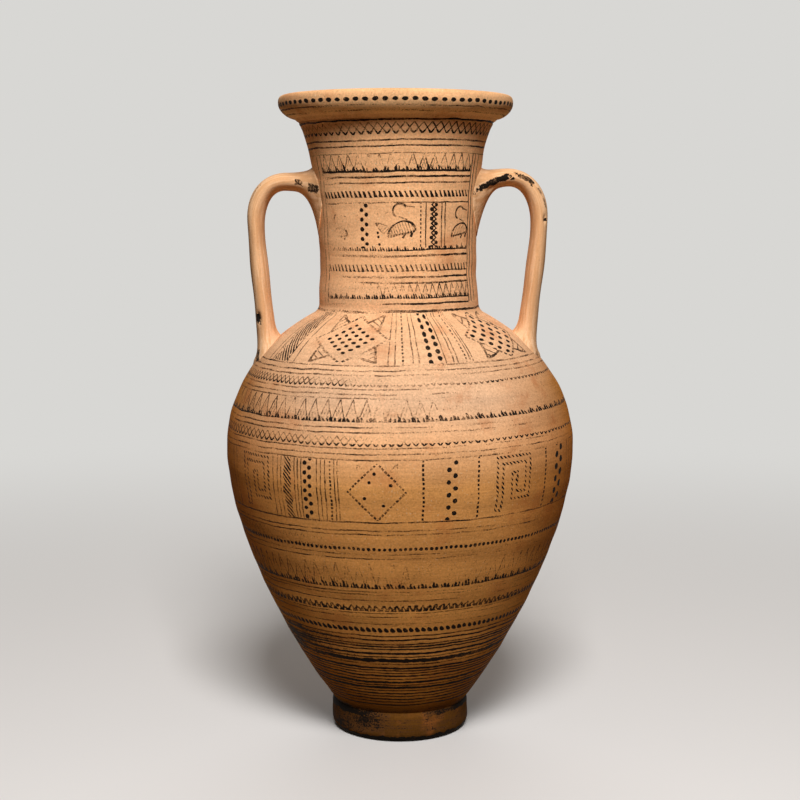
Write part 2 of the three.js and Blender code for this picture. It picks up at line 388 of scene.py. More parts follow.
def quads(left: np.ndarray, right: np.ndarray, low: Union[float, np.ndarray],
          high: Union[float, np.ndarray]) -> list[np.ndarray]:
    """Places on the surface map of the corners of a row of faces, each corner in turn."""
    return [np.column_stack(np.broadcast_arrays(side, level))
            for side, level in ((left, low), (right, low), (right, high), (left, high))]


@dataclass(frozen=True)
class Levels:
    """Heights of the joints between the thrown sections, and the radii that the frame gives."""

    stem: float
    belly: float
    neck: float
    lip: float
    top: float
    foot_radius: float
    belly_radius: float
    lip_radius: float

    @classmethod
    def from_frame(cls) -> "Levels":
        """Reads the levels off the packed solids.

        Returns:
            The levels, in millimetres.
        """
        boxes = {name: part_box(name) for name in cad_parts}
        tops = [boxes[name][1].z / METRES
                for name in ("foot_ring", "lower_belly", "upper_belly", "neck", "mouth_rim")]
        radii = [boxes[name][1].x / METRES for name in ("foot_ring", "lower_belly", "mouth_rim")]
        return cls(*tops, *radii)


@dataclass(frozen=True)
class Wall:
    """The jar's outline: the outer and inner face of each section, as radius and height."""

    levels: Levels
    stem_radius: float = 63.5
    neck_base_radius: float = 75.4
    waist_radius: float = 73.6
    waist_height: float = 32.0
    lip_seat_radius: float = 95.0
    lip_seat_width: float = 11.0
    belly_wall: float = 8.0
    neck_wall: float = 7.5
    neck_thickening: float = 4.0
    floor_thickness: float = 12.0
    floor_flat: float = 40.0
    floor_rounding: float = 18.0
    stem_angle: float = 52.0
    stem_reach: float = 55.0
    lower_fullness: float = 84.0
    upper_fullness: float = 52.5
    shoulder_slope: float = 28.0
    shoulder_reach: float = 58.5
    neck_fillet: float = 10.0
    fillet_points: int = 14
    base_upright: float = 10.7
    waist_upright: float = 30.0
    flare_angle: float = 32.0
    flare_reach: float = 23.0
    step: float = 1.5
    inner_step: float = 3.5

    @property
    def lower_outer(self) -> np.ndarray:
        """Outer face of the lower belly, from the stem up to the widest point."""
        at = self.levels
        return curve((self.stem_radius, at.stem), heading(self.stem_angle) * self.stem_reach,
                     (at.belly_radius, at.belly), (0, self.lower_fullness), self.step)

    @property
    def upper_outer(self) -> np.ndarray:
        """Outer face of the upper belly, over the shoulder and up the hollow fillet."""
        at = self.levels
        fall = heading(180 - self.shoulder_slope)
        centre = np.array([self.neck_base_radius + self.neck_fillet, at.neck])
        end = centre + self.neck_fillet * np.array([-fall[1], fall[0]])
        over = curve((at.belly_radius, at.belly), (0, self.upper_fullness), end,
                     fall * self.shoulder_reach, self.step)
        turn = np.radians(np.linspace(90 - self.shoulder_slope, 0, self.fillet_points))
        fillet = centre - self.neck_fillet * np.column_stack([np.cos(turn), np.sin(turn)])
        return chain(over, fillet)

    @property
    def neck_outer(self) -> np.ndarray:
        """Outer face of the neck, from the shoulder to the lip."""
        at = self.levels
        waist = (self.waist_radius, at.neck + self.waist_height)
        upright = (0, self.base_upright)
        low = curve((self.neck_base_radius, at.neck), upright, waist, upright, self.step)
        high = curve(waist, (0, self.waist_upright), (self.lip_seat_radius, at.lip),
                     heading(self.flare_angle) * self.flare_reach, self.step)
        return chain(low, high)

    @staticmethod
    def _inset(points: np.ndarray, distance: np.ndarray) -> np.ndarray:
        """Moves an outline inwards, square to itself, with its ends level.

        Args:
            points: The outline, from its foot upwards.
            distance: How far each point moves.

        Returns:
            The moved outline.
        """
        along = directions(points)
        square = np.column_stack([-along[:, 1], along[:, 0]])
        square[[0, -1]] = (-1, 0)
        return points + square * distance[:, None]

    @property
    def lower_inner(self) -> np.ndarray:
        """Inner face of the lower belly, from the axis on the floor up to the joint."""
        outer = self.lower_outer
        floor = self.levels.stem + self.floor_thickness
        side = self._inset(outer, np.full(len(outer), self.belly_wall))
        side = side[side[:, 1] > floor + self.floor_rounding]
        rise = side[1] - side[0]
        arrive = rise / np.linalg.norm(rise) * self.floor_rounding
        base = curve((0, floor), (self.floor_flat, 0), side[0], arrive, self.inner_step)
        return chain(base, even(side, self.inner_step))

    @property
    def upper_inner(self) -> np.ndarray:
        """Inner face of the upper belly."""
        outer = self.upper_outer
        wall = np.linspace(self.belly_wall, self.neck_wall, len(outer))
        return even(self._inset(outer, wall), self.inner_step)

    @property
    def neck_inner(self) -> np.ndarray:
        """Inner face of the neck, where the wall thickens towards the seat of the lip."""
        outer = self.neck_outer
        up = (outer[:, 1] - self.levels.neck) / (self.levels.lip - self.levels.neck)
        wall = self.neck_wall + (self.lip_seat_width - self.neck_wall) * up ** self.neck_thickening
        return even(outer - np.column_stack([wall, np.zeros(len(wall))]), self.inner_step)

    @property
    def outline(self) -> np.ndarray:
        """The outer face from the stem to the lip."""
        return chain(self.lower_outer, self.upper_outer, self.neck_outer)

    def radius(self, height: Union[float, np.ndarray]) -> Union[float, np.ndarray]:
        """Outer radius at a height, or at each of many."""
        outline = self.outline
        return np.interp(height, outline[:, 1], outline[:, 0])

    def depth(self, radius: np.ndarray, height: np.ndarray) -> tuple[np.ndarray, np.ndarray]:
        """How far points lie outside the wall, and the wall's outward direction there.

        Args:
            radius: The points' distances from the axis.
            height: The points' heights.

        Returns:
            The distances, less than 0 inside, and the directions in radius and height.
        """
        outline = even(self.outline, self.step)
        along = directions(outline)
        outward = np.column_stack([along[:, 1], -along[:, 0]])
        points = np.column_stack([radius, height])
        nearest = np.array([np.argmin(((outline - point) ** 2).sum(1)) for point in points])
        away = points - outline[nearest]
        return (away * outward[nearest]).sum(1), outward[nearest]


@dataclass(frozen=True)
class Throwing:
    """What the potter's hands left in the jar.

    The wall has long soft waves and isn't quite round, and the inside has a spiral ridge. The upper
    half leans a little to the left. The tilt is that of the rings painted below the lip.
    """

    waves: tuple[tuple[float, float, int, float], ...] = (
        (0.16, 41.0, 1, 0.3), (0.12, 23.0, 2, 1.9), (0.09, 67.0, 3, 4.1))
    oval: float = 0.35
    oval_turn: float = 0.6
    oval_length: float = 190.0
    ridge: float = 0.45
    ridge_rise: float = 11.0
    ridge_end: Pair = (520.0, 570.0)
    lean_from: float = 330.0
    lean_rate: float = 4.2 / 270
    tilt: float = 0.0135
    tilt_end: float = 579.0

    def lean(self, height: np.ndarray) -> np.ndarray:
        """How far the axis has moved along X at a height."""
        return -self.lean_rate * np.maximum(height - self.lean_from, 0)

    def swell(self, turn: np.ndarray, height: np.ndarray, inside: np.ndarray) -> np.ndarray:
        """How far the wall stands out from the true circle.

        Args:
            turn: Radians from the front.
            height: Heights.
            inside: 1 on the inner face, where the fingers left a spiral ridge, else 0.

        Returns:
            The distances.
        """
        total = self.oval * np.cos(2 * turn + self.oval_turn) * np.sin(height / self.oval_length)
        for size, length, rounds, start in self.waves:
            total = total + size * np.sin(2 * np.pi * height / length + rounds * turn + start)
        low, high = self.ridge_end
        fade = np.clip((high - height) / (high - low), 0, 1)
        spiral = self.ridge * np.sin(2 * np.pi * height / self.ridge_rise + turn)
        return total + inside * fade * spiral


class Face(Enum):
    """Kinds of surface on a thrown section, with the strip of the surface map that each takes."""

    OUTER = (0.0, 0.42)
    INNER = (0.865, 0.965)
    LOW_JOINT = (0.97, 0.98)
    HIGH_JOINT = (0.985, 0.995)


@dataclass
class Sheet:
    """Faces gathered for a mesh, with their places on the surface map and their materials."""

    faces: list[list[int]] = field(default_factory=list)
    places: list[list[float]] = field(default_factory=list)
    slots: list[int] = field(default_factory=list)

    def add(self, corners: Sequence[np.ndarray], places: Sequence[np.ndarray], slot: int) -> None:
        """Adds faces that all have the same number of corners.

        Args:
            corners: For each corner in turn, its vertex in every face.
            places: For each corner in turn, its place on the surface map in every face.
            slot: The faces' material slot.
        """
        self.faces.extend(np.stack(corners, 1).tolist())
        self.places.extend(np.stack(places, 1).reshape(-1, 2).tolist())
        self.slots.extend([slot] * len(corners[0]))

    def build(self, name: str, vertices: np.ndarray) -> bpy.types.Object:
        """Makes a smooth-shaded mesh object from the faces.

        Args:
            name: The object's name.
            vertices: The faces' vertices, in millimetres.

        Returns:
            The object.
        """
        mesh = bpy.data.meshes.new(name)
        mesh.from_pydata((vertices * METRES).tolist(), [], self.faces)
        mesh.uv_layers.new(name=SURFACE_MAP).data.foreach_set("uv", np.ravel(self.places))
        mesh.polygons.foreach_set("material_index", self.slots)
        mesh.shade_smooth()
        return set_down(name, mesh)


@dataclass(frozen=True)
class Stretch:
    """Part of a section's closed outline, with the face that it makes when it is turned."""

    points: np.ndarray
    face: Face


@dataclass(frozen=True)
class Lathe:
    """Turns a closed outline round the jar's axis into a mesh."""

    throwing: Throwing
    columns: int = 288
    back_strip: float = 0.43
    steady_radius: float = 30.0

    def turn(self, name: str, stretches: Sequence[Stretch]) -> bpy.types.Object:
        """Turns an outline, each stretch of which starts where the one before ended.

        Args:
            name: The piece's name.
            stretches: The outline, from the axis to the axis or from a point back to itself.

        Returns:
            The object, its outer faces in the first material slot and the rest in the second.
        """
        points, inner, corners = [], [], []
        for stretch in stretches:
            corners.append(len(points))
            steps = len(stretch.points) - 1
            if stretch.face is Face.INNER:
                inner.extend(range(len(points), len(points) + steps + 1))
            points.extend(stretch.points[:-1])
        if not np.allclose(stretches[-1].points[-1], stretches[0].points[0]):
            points.append(stretches[-1].points[-1])
        rings = np.array(points)
        inside = np.zeros(len(rings))
        inside[np.array(inner, int) % len(rings)] = 1
        vertices, starts = self._vertices(rings, inside)
        sheet = Sheet()
        first = 0
        for stretch in stretches:
            steps = len(stretch.points) - 1
            for i in range(steps):
                pair = [first, (first + 1) % len(rings)]
                self._add_row(sheet, starts[pair], rings[pair, 0] < ON_AXIS, stretch.face,
                              (i / steps, (i + 1) / steps))
                first += 1
        piece = sheet.build(name, vertices)
        self._mark_corners(piece.data, starts, corners)
        return piece

    def _vertices(self, rings: np.ndarray, inside: np.ndarray) -> tuple[np.ndarray, np.ndarray]:
        """Places the vertices of every ring.

        Args:
            rings: Radius and height of each ring.
            inside: 1 for a ring of the inner face, else 0.

        Returns:
            The vertices, and the number of each ring's first one.
        """
        turns = np.radians(np.arange(self.columns) * 360 / self.columns - 180)
        counts = np.where(rings[:, 0] < ON_AXIS, 1, self.columns)
        placed = []
        for (radius, height), within, count in zip(rings, inside, counts):
            held = min(radius / self.steady_radius, 1)
            out = radius + held * self.throwing.swell(turns[:count], height, within)
            across = out * np.sin(turns[:count]) + self.throwing.lean(height)
            back = -out * np.cos(turns[:count])
            placed.append(np.column_stack([across, back, np.full(count, height)]))
        return np.vstack(placed), np.concatenate([[0], np.cumsum(counts)[:-1]])

    def _add_row(self, sheet: Sheet, ends: np.ndarray, lone: np.ndarray, face: Face,
                 shares: tuple[float, float]) -> None:
        """Adds the faces between two rings.

        Args:
            sheet: Where the faces are gathered.
            ends: The first vertex of each ring.
            lone: Whether each ring is a single vertex on the axis.
            face: The kind of surface.
            shares: How far along its stretch each ring lies.
        """
        near = np.arange(self.columns)
        far = (near + 1) % self.columns
        left, right = near / self.columns, (near + 1) / self.columns
        low, high = (face.value[0] + (face.value[1] - face.value[0]) * share for share in shares)
        rise = np.zeros(self.columns)
        if face is Face.OUTER:
            front = (left >= 0.25) & (left < 0.75)
            rise = np.where(front, 0, self.back_strip)
            shift = np.where(front, 0.25, np.where(left < 0.5, -0.25, 0.75))
            left, right = (left - shift) * 2, (right - shift) * 2
        corners = [ends[0] + near, ends[0] + far, ends[1] + far, ends[1] + near]
        places = quads(left, right, rise + low, rise + high)
        if lone[0]:
            corners = [np.full(self.columns, ends[0]), *corners[2:]]
            places = places[:1] + places[2:]
        elif lone[1]:
            corners = [*corners[:2], np.full(self.columns, ends[1])]
            places = places[:3]
        sheet.add(corners, places, 0 if face is Face.OUTER else 1)

    @staticmethod
    def _mark_corners(mesh: bpy.types.Mesh, starts: np.ndarray, corners: Sequence[int]) -> None:
        """Marks the edges of the rings at an outline's corners as sharp.

        Args:
            mesh: The turned mesh.
            starts: The first vertex of each ring.
            corners: The rings at the corners.
        """
        ring_of = np.searchsorted(starts, np.arange(len(mesh.vertices)), side="right") - 1
        ends = np.zeros(len(mesh.edges) * 2, int)
        mesh.edges.foreach_get("vertices", ends)
        ends = ring_of[ends.reshape(-1, 2)]
        sharp = (ends[:, 0] == ends[:, 1]) & np.isin(ends[:, 0], corners)
        mesh.attributes.new("sharp_edge", "BOOLEAN", "EDGE").data.foreach_set("value", sharp)


@dataclass(frozen=True)
class FiredClay:
    """Smoothed, fired clay: its tones, mottling, wheel marks, pits and specks."""

    # The tones darken towards the foot. Part of that is the clay's own browner tone and part is
    # painted shade, where the light falls off downwards. The pale, greyer stops at about 0.49 to
    # 0.55, over the upper belly, are a painted sheen.
    tones: tuple[tuple[float, Colour], ...] = (
        (0.00, paint_tin(76, 48, 18)),
        (0.050, paint_tin(112, 72, 27)),
        (0.068, paint_tin(186, 124, 54)),
        (0.113, paint_tin(212, 142, 64)),
        (0.167, paint_tin(231, 163, 87)),
        (0.240, paint_tin(227, 161, 88)),
        (0.330, paint_tin(213, 150, 84)),
        (0.430, paint_tin(214, 153, 89)),
        (0.488, paint_tin(236, 180, 131)),
        (0.554, paint_tin(221, 179, 144)),
        (0.744, paint_tin(243, 187, 138)),
        (0.955, paint_tin(243, 188, 138)),
        (0.968, paint_tin(255, 217, 164)),
        (0.984, paint_tin(240, 187, 137)),
        (1.000, paint_tin(238, 184, 134)),
    )
    flushed: Colour = paint_tin(190, 112, 60)
    pit: Colour = paint_tin(92, 56, 30)
    fleck: Colour = paint_tin(238, 206, 166)
    blotchy: float = 0.42
    streaky: float = 0.6
    grainy: float = 0.84
    flush_share: float = 0.4
    pit_share: float = 0.45
    relief_share: float = 0.55
    relief_depth: float = 0.45
    height_range: float = 600.0
    roughness: float = 0.8
    bare_roughness: float = 0.85
    specular: float = 0.03

    def colour(self, bench: Bench, place: Socket, height: Wire, streaked: Socket) -> Socket:
        """Works out the clay's colour.

        Args:
            bench: The material's bench.
            place: The point in millimetres.
            height: Its height.
            streaked: The point, drawn out along the marks of the tool.

        Returns:
            The colour.
        """
        share = height / self.height_range
        # This ramp by height carries painted shade towards the foot and a painted sheen over the
        # upper belly.
        ramp = bench.node("ShaderNodeValToRGB", {"stops": self.tones}, {"Fac": share})
        blotch = bench.cloud(place, 46, 3, 0.55)
        streak = bench.cloud(streaked, 26, 4, 0.7)
        grain = bench.cloud(place, 1.7, 2, 0.6)
        light = (1 + (blotch - 0.5) * self.blotchy + (streak - 0.5) * self.streaky
                 + (grain - 0.5) * self.grainy)
        tone = bench.mix(1.0, ramp.outputs["Color"], light.socket, "MULTIPLY")
        flush = bench.cloud(bench.vector("ADD", place, (310, 70, 20)), 30, 4, 0.6).ease(0.52, 0.72)
        tone = bench.mix(flush * self.flush_share, tone, self.flushed)
        pits = bench.cloud(bench.vector("ADD", place, (0, 500, 0)), 2.1, 1).ease(0.68, 0.78)
        flecks = bench.cloud(bench.vector("ADD", place, (0, 0, 900)), 1.6, 1).ease(0.66, 0.75)
        tone = bench.mix(pits * self.pit_share, tone, self.pit)
        return bench.mix(flecks & share.ramp(0.06, 0.9), tone, self.fleck)

    def relief(self, bench: Bench, place: Socket, streaked: Socket) -> Socket:
        """The bent normal of wheel marks, grain and small pits.

        Args:
            bench: The material's bench.
            place: The point in millimetres.
            streaked: The point, drawn out along the marks of the tool.

        Returns:
            The normal.
        """
        marks = bench.cloud(streaked, 9, 3, 0.65)
        grain = bench.cloud(place, 1.1, 3, 0.6)
        dents = bench.cloud(place, 5.5, 1).ease(0.62, 0.78)
        level = marks * 0.6 + grain * 0.35 - dents * 0.5
        inputs = {"Strength": self.relief_share, "Distance": self.relief_depth * METRES,
                  "Height": level}
        return bench.node("ShaderNodeBump", {}, inputs).outputs["Normal"]

    def fire(self, bench: Bench, tone: Socket, rough: Number,
             place: Socket, streaked: Socket) -> Material:
        """Ends a material of this clay.

        Args:
            bench: The material's bench.
            tone: Its colour, with any paint.
            rough: Its roughness.
            place: The point in millimetres.
            streaked: The point, drawn out along the marks of the tool.

        Returns:
            The material, with the clay's relief.
        """
        return bench.finish({"Base Color": tone, "Roughness": rough,
                             "Specular IOR Level": self.specular,
                             "Normal": self.relief(bench, place, streaked)})

    def bare(self, name: str) -> Material:
        """The clay without paint, as inside the jar and on the joint faces.

        Args:
            name: The material's name.

        Returns:
            The material.
        """
        bench = Bench.for_material(name)
        place = bench.millimetres()
        streaked = bench.vector("MULTIPLY", place, (0.3, 0.3, 4))
        tone = self.colour(bench, place, bench.split(place)[2], streaked)
        return self.fire(bench, tone, self.bare_roughness, place, streaked)


@dataclass(frozen=True)
class Wear:
    """How much paint is left at the left, the middle and the right of the front: 1 is all."""

    left: float
    middle: float
    right: float


FRESH = Wear(0.95, 0.9, 0.95)
GOOD = Wear(0.75, 0.66, 0.75)
WORN = Wear(0.56, 0.5, 0.56)
FAINT = Wear(0.44, 0.42, 0.44)
FINE = Wear(0.8, 0.8, 0.8)


class Field:
    """What the brush needs to know at a point of the wall, as wires of one material.

    The back repeats the front, and under the handles the wear of the two sides is brought together.
    """

    waver_up: float = 3.2
    waver_round: float = 1.6
    side_turn: float = 60.0
    handle_turns: Pair = (62.0, 90.0)

    def __init__(self, bench: Bench, wall: Wall, throwing: Throwing) -> None:
        """Finds the height and the turn of a point, with the waver of a hand-held brush.

        Args:
            bench: The material's bench.
            wall: The wall that is painted.
            throwing: The hand that threw it.
        """
        self.wall = wall
        self.place = bench.millimetres()
        across, back, height = bench.split(self.place)
        lean = bench.maths("MAXIMUM", (height - throwing.lean_from) * throwing.lean_rate, 0.0)
        full_turn = bench.maths("ARCTAN2", across + lean, 0 - back) * math.degrees(1)
        half_turn = bench.maths("WRAP", full_turn, 90.0, -90.0)
        up, side, _ = bench.split(bench.noise(self.place, 30, 4, 0.62).outputs[1])
        swell, blot, slip = bench.split(bench.noise(self.place, 6, 3, 0.6).outputs[1])
        self.true_height = height
        tilted = across * (height < throwing.tilt_end) * throwing.tilt
        self.height = height - tilted + (up - 0.5) * self.waver_up
        self.turn = half_turn + (side - 0.5) * self.waver_round
        self.pressure = swell * 0.8 + blot * 1.6 - 0.2
        self.slip = slip - 0.5
        left, right = (self.turn.ramp(0, edge) for edge in (-self.side_turn, self.side_turn))
        shared = abs(self.turn).ramp(*self.handle_turns) * 0.5
        self.to_left = left - shared * (left - right)
        self.to_right = right + shared * (left - right)
        self._zones: dict[tuple[float, float], Wire] = {}
        self._wears: dict[Wear, Wire] = {}

    def zone(self, low: float, high: float) -> Wire:
        """1 between two heights.

        Args:
            low: The lower one.
            high: The upper one.

        Returns:
            The mask.
        """
        if (low, high) not in self._zones:
            self._zones[low, high] = self.height.near(*span(low, high))
        return self._zones[low, high]

    def strength(self, wear: Wear) -> Wire:
        """How much paint is left here, for that wear.

        Args:
            wear: How worn the paint is.

        Returns:
            The share of paint, from 0 to 1.
        """
        if wear not in self._wears:
            left = self.to_left * (wear.left - wear.middle)
            self._wears[wear] = left + self.to_right * (wear.right - wear.middle) + wear.middle
        return self._wears[wear]

    def bounded(self, mask: Wire, edge: float) -> Wire:
        """Keeps a mask within a turn on both sides of the front, unless it goes all round."""
        return mask & (abs(self.turn) < edge) if edge < ALL_ROUND else mask

    def degree(self, height: float) -> float:
        """Length of one degree round the wall at a height."""
        return math.radians(float(self.wall.radius(height)))


class Ornament(ABC):
    """Something painted on the wall."""

    @abstractmethod
    def paint(self, at: Field) -> Wire:
        """The paint laid on at each point, from 0 to 1."""


@dataclass(frozen=True)
class Lines(Ornament):
    """Lines drawn round the jar on the wheel."""

    heights: tuple[float, ...]
    width: float = 1.3
    wear: Wear = WORN
    field_edge: float = ALL_ROUND

    def paint(self, at: Field) -> Wire:
        """See Ornament."""
        reach = at.pressure * (self.width / 2)
        mask = either(at.height.near(level, reach) for level in self.heights)
        return at.bounded(mask & at.strength(self.wear), self.field_edge)


class Motif(Enum):
    """What a row repeats round the jar."""

    DOTS = "round dots"
    WEDGES = "wedge-shaped dots"
    TICKS = "slanted strokes with thick feet"
    NET = "a net of thin crossed strokes on bold feet"
    ZIGZAG = "a zigzag"
    TRIANGLES = "netted triangles, points up"
    TOOTHED = "a bold line with teeth, the tallest between the triangles over it"


@dataclass(frozen=True)
class Row(Ornament):
    """A row of one motif between two heights, a whole even number of them round the jar."""

    motif: Motif
    low: float
    high: float
    count: int
    stroke: float = 1.2
    wear: Wear = WORN
    field_edge: float = ALL_ROUND
    fine: Wear = FINE

    def paint(self, at: Field) -> Wire:
        """See Ornament."""
        draw = {Motif.DOTS: self._dots, Motif.WEDGES: self._wedges, Motif.TICKS: self._ticks,
                Motif.NET: self._net, Motif.ZIGZAG: self._zigzag,
                Motif.TRIANGLES: self._triangles, Motif.TOOTHED: self._toothed}[self.motif]
        step = at.turn * (self.count / 360)
        share = (at.height - self.low) / (self.high - self.low)
        mask = draw(at, step, share) & at.zone(self.low, self.high) & at.strength(self.wear)
        return at.bounded(mask, self.field_edge)

    def _pitch(self, at: Field) -> float:
        """Distance between two repeats."""
        return at.degree((self.low + self.high) / 2) * 360 / self.count

    def _half(self, at: Field) -> float:
        """Half a stroke, as a share of the distance between two repeats."""
        return self.stroke / 2 / self._pitch(at)

    def _dots(self, at: Field, step: Wire, share: Wire) -> Wire:
        """Round dots, as tall as the row and a little wider."""
        return oval(step.swing() / self._half(at), share * 2 - 1) < at.pressure

    def _wedges(self, at: Field, step: Wire, share: Wire) -> Wire:
        """Slanted dots, broader at the foot."""
        aside = (step + share * 0.3).swing() / ((1.35 - share * 0.7) * self._half(at))
        return oval(aside, share * 2 - 1) < at.pressure

    def _ticks(self, at: Field, step: Wire, share: Wire) -> Wire:
        """Slanted strokes, thicker at the foot."""
        reach = (((1 - share) ** 2.0) * 0.8 + 1) * at.pressure * self._half(at)
        return (step + share * 0.5 + at.slip * 0.3).swing() < reach

    def _net(self, at: Field, step: Wire, share: Wire) -> Wire:
        """Strokes that cross at half height and meet again at the top, bold where they start.

        Args:
            at: Where it is painted.
            step: Place round the jar, counted in repeats.
            share: Place up the row, from 0 to 1.

        Returns:
            The strokes.
        """
        reach = at.pressure * self._half(at)
        nearest = (step + share).swing().least((step - share).swing())
        foot = (nearest < reach * 1.6) & (share < 0.28)
        return ((nearest < reach) & at.strength(self.fine)) | foot

    def _zigzag(self, at: Field, step: Wire, share: Wire) -> Wire:
        """An uneven zigzag, taller where the brush pressed, whose lower points are thick.

        Args:
            at: Where it is painted.
            step: Place round the jar, counted in repeats.
            share: Place up the row, from 0 to 1.

        Returns:
            The zigzag.
        """
        wave = (step + at.slip * 1.2).swing() * 2 * at.pressure
        reach = self._across(at)
        foot = (1 - share) ** 3.0
        return abs(share - wave) < (foot * 1.8 + 0.9) * at.pressure * reach

    def _triangles(self, at: Field, step: Wire, share: Wire) -> Wire:
        """Triangles with their points up, outlined and netted along both sides.

        Args:
            at: Where it is painted.
            step: Place round the jar, counted in repeats.
            share: Place up the row, from 0 to 1.

        Returns:
            The triangles.
        """
        wave = step.swing() * 2
        outline = abs(share - wave) < at.pressure * self._across(at)
        slant = share * 0.5
        rising, falling = ((step - slant) * 4).swing(), ((step + slant) * 4).swing()
        net = (rising.least(falling) < at.pressure * 0.09) & (share < wave) & at.strength(self.fine)
        blob = (share > 0.8) & (wave > 0.8) & (at.slip > 0.04)
        return outline | net | blob

    def _toothed(self, at: Field, step: Wire, share: Wire) -> Wire:
        """A broken line from which blunt teeth stand up, leaning a little.

        Args:
            at: Where it is painted.
            step: Place round the jar, counted in repeats.
            share: Place up the row, from 0 to 1.

        Returns:
            The line and its teeth.
        """
        thick = self.stroke / (self.high - self.low)
        line = (share < at.pressure * thick) & at.strength(self.fine)
        far = step.swing()
        height = at.pressure * (0.95 - far * 1.3)
        aside = (step * 3 + share * 0.4 + at.slip * 1.6).swing() / (0.5 + at.slip * 0.6 - far * 0.5)
        level = (share + at.slip * 0.6) / height
        return line | (oval(aside, level) < 1)

    def _across(self, at: Field) -> float:
        """Half a stroke, as a share of the row's height, measured up across a slanted side."""
        run, rise = self._pitch(at) / 2, self.high - self.low
        return self.stroke / 2 * math.hypot(run, rise) / (run * rise)


class Upright(Enum):
    """Kinds of upright in a panelled zone."""

    LINE = "a plain stroke"
    DOTTED = "a stroke broken into dots"
    CHECKER = "two columns of staggered dots"
    ROPE = "a column of slanted strokes"
    DASHES = "a column of short level strokes"


@dataclass(frozen=True)
class Uprights(Ornament):
    """Strokes and columns that stand in a zone at the same wear."""

    kind: Upright
    turns: tuple[float, ...]
    low: float
    high: float
    width: float = 1.2
    spacing: float = 4.4
    wear: Wear = WORN
    linked: bool = False

    def paint(self, at: Field) -> Wire:
        """See Ornament."""
        degree = at.degree((self.low + self.high) / 2)
        if self.kind is Upright.CHECKER:
            mask = self._checker(at, degree)
        else:
            reach = at.pressure * (self.width / 2 / degree)
            mask = either(at.turn.near(turn, reach) for turn in self.turns)
            if self.kind is not Upright.LINE:
                mask = mask & self._beat(at, degree)
        return mask & at.zone(self.low, self.high) & at.strength(self.wear)

    def _beat(self, at: Field, degree: float) -> Wire:
        """What breaks a stroke into dots or dashes, or a rope into slanted strokes.

        Args:
            at: Where it is painted.
            degree: Length of one degree there.

        Returns:
            Where the stroke stays.
        """
        beat, share = at.height / self.spacing, 0.3
        if self.kind is Upright.ROPE:
            beat, share = beat + at.turn * (degree / self.spacing), 0.27
        return beat.swing() < at.pressure * share

    def _checker(self, at: Field, degree: float) -> Wire:
        """Two dot columns, one at each of the two turns, and a zigzag between linked ones.

        Args:
            at: Where it is painted.
            degree: Length of one degree there.

        Returns:
            The dots.
        """
        middle, half = span(*self.turns)
        aside = at.turn - middle
        column = abs(abs(aside) - half) * (2 * degree / self.width)
        step = at.height / self.spacing
        level = (step + (aside > 0) * 0.5).swing() * (2 * self.spacing / self.width)
        dots = oval(column, level) < at.pressure
        if self.linked:
            across = abs(step.swing() * 4 - 1) * half
            dots = dots | (abs(abs(aside) - across) < at.pressure * (1.0 / degree))
        return dots


@dataclass(frozen=True)
class Star(Ornament):
    """A diamond with a slim triangle on the middle of each side, pointing to the corners.

    It is either filled with rows of dots, or left open with a beaded outline.
    """

    turn: float
    low: float
    high: float
    half_width: float
    tip: float = 0.78
    slimness: float = 0.4
    stroke: float = 1.2
    bead: float = 4.9
    inset: float = 0.24
    open: bool = False
    wear: Wear = GOOD

    def paint(self, at: Field) -> Wire:
        """See Ornament."""
        middle, reach = span(self.low, self.high)
        east, north = (at.turn - self.turn) / self.half_width, (at.height - middle) / reach
        star = self._star(at, east, north, at.degree(middle) * self.half_width, reach)
        return star & at.zone(self.low, self.high) & at.strength(self.wear)

    def _star(self, at: Field, east: Wire, north: Wire, width: float, height: float) -> Wire:
        """Draws the star.

        Args:
            at: Where it is painted.
            east: Place across it, as a share of its half width.
            north: Place up it, as a share of its half height.
            width: Its half width in millimetres.
            height: Its half height in millimetres.

        Returns:
            The paint.
        """
        aside, level = abs(east), abs(north)
        unit = width * height / math.hypot(width, height)
        reach = at.pressure * (self.stroke / 2 / unit)
        out = aside + level - 1
        slant = aside - level
        axis = out * (-(1 - self.tip) / self.tip)
        off = abs(slant - axis)
        half = self.slimness * (1 - out / self.tip)
        beads = self.bead / unit
        outside = (out > 0) & (half > 0)
        if self.open:
            edge = (abs(out) < reach * 1.4) & ((slant / beads).swing() < at.pressure * 0.34)
            return edge | ((abs(off - half) < reach * 1.2) & outside & at.strength(WORN))
        ray = (abs(off - half) < reach * 1.6) & outside
        fine = (slant / beads * 1.7).swing()
        edge = (abs(out) < reach * 1.3) & (fine < at.pressure * 0.34)
        hatch = (out / beads * 1.4).swing() < at.pressure * 0.12
        ray = ray | (hatch & (off < half) & outside)
        rise, fall = ((east + north) / beads).swing(), ((east - north) / beads).swing()
        dots = (oval(rise, fall) < at.pressure * 0.072) & (out < -self.inset)
        return ((edge | ray) * THIN_STROKE) | (dots * BOLD_STROKE)


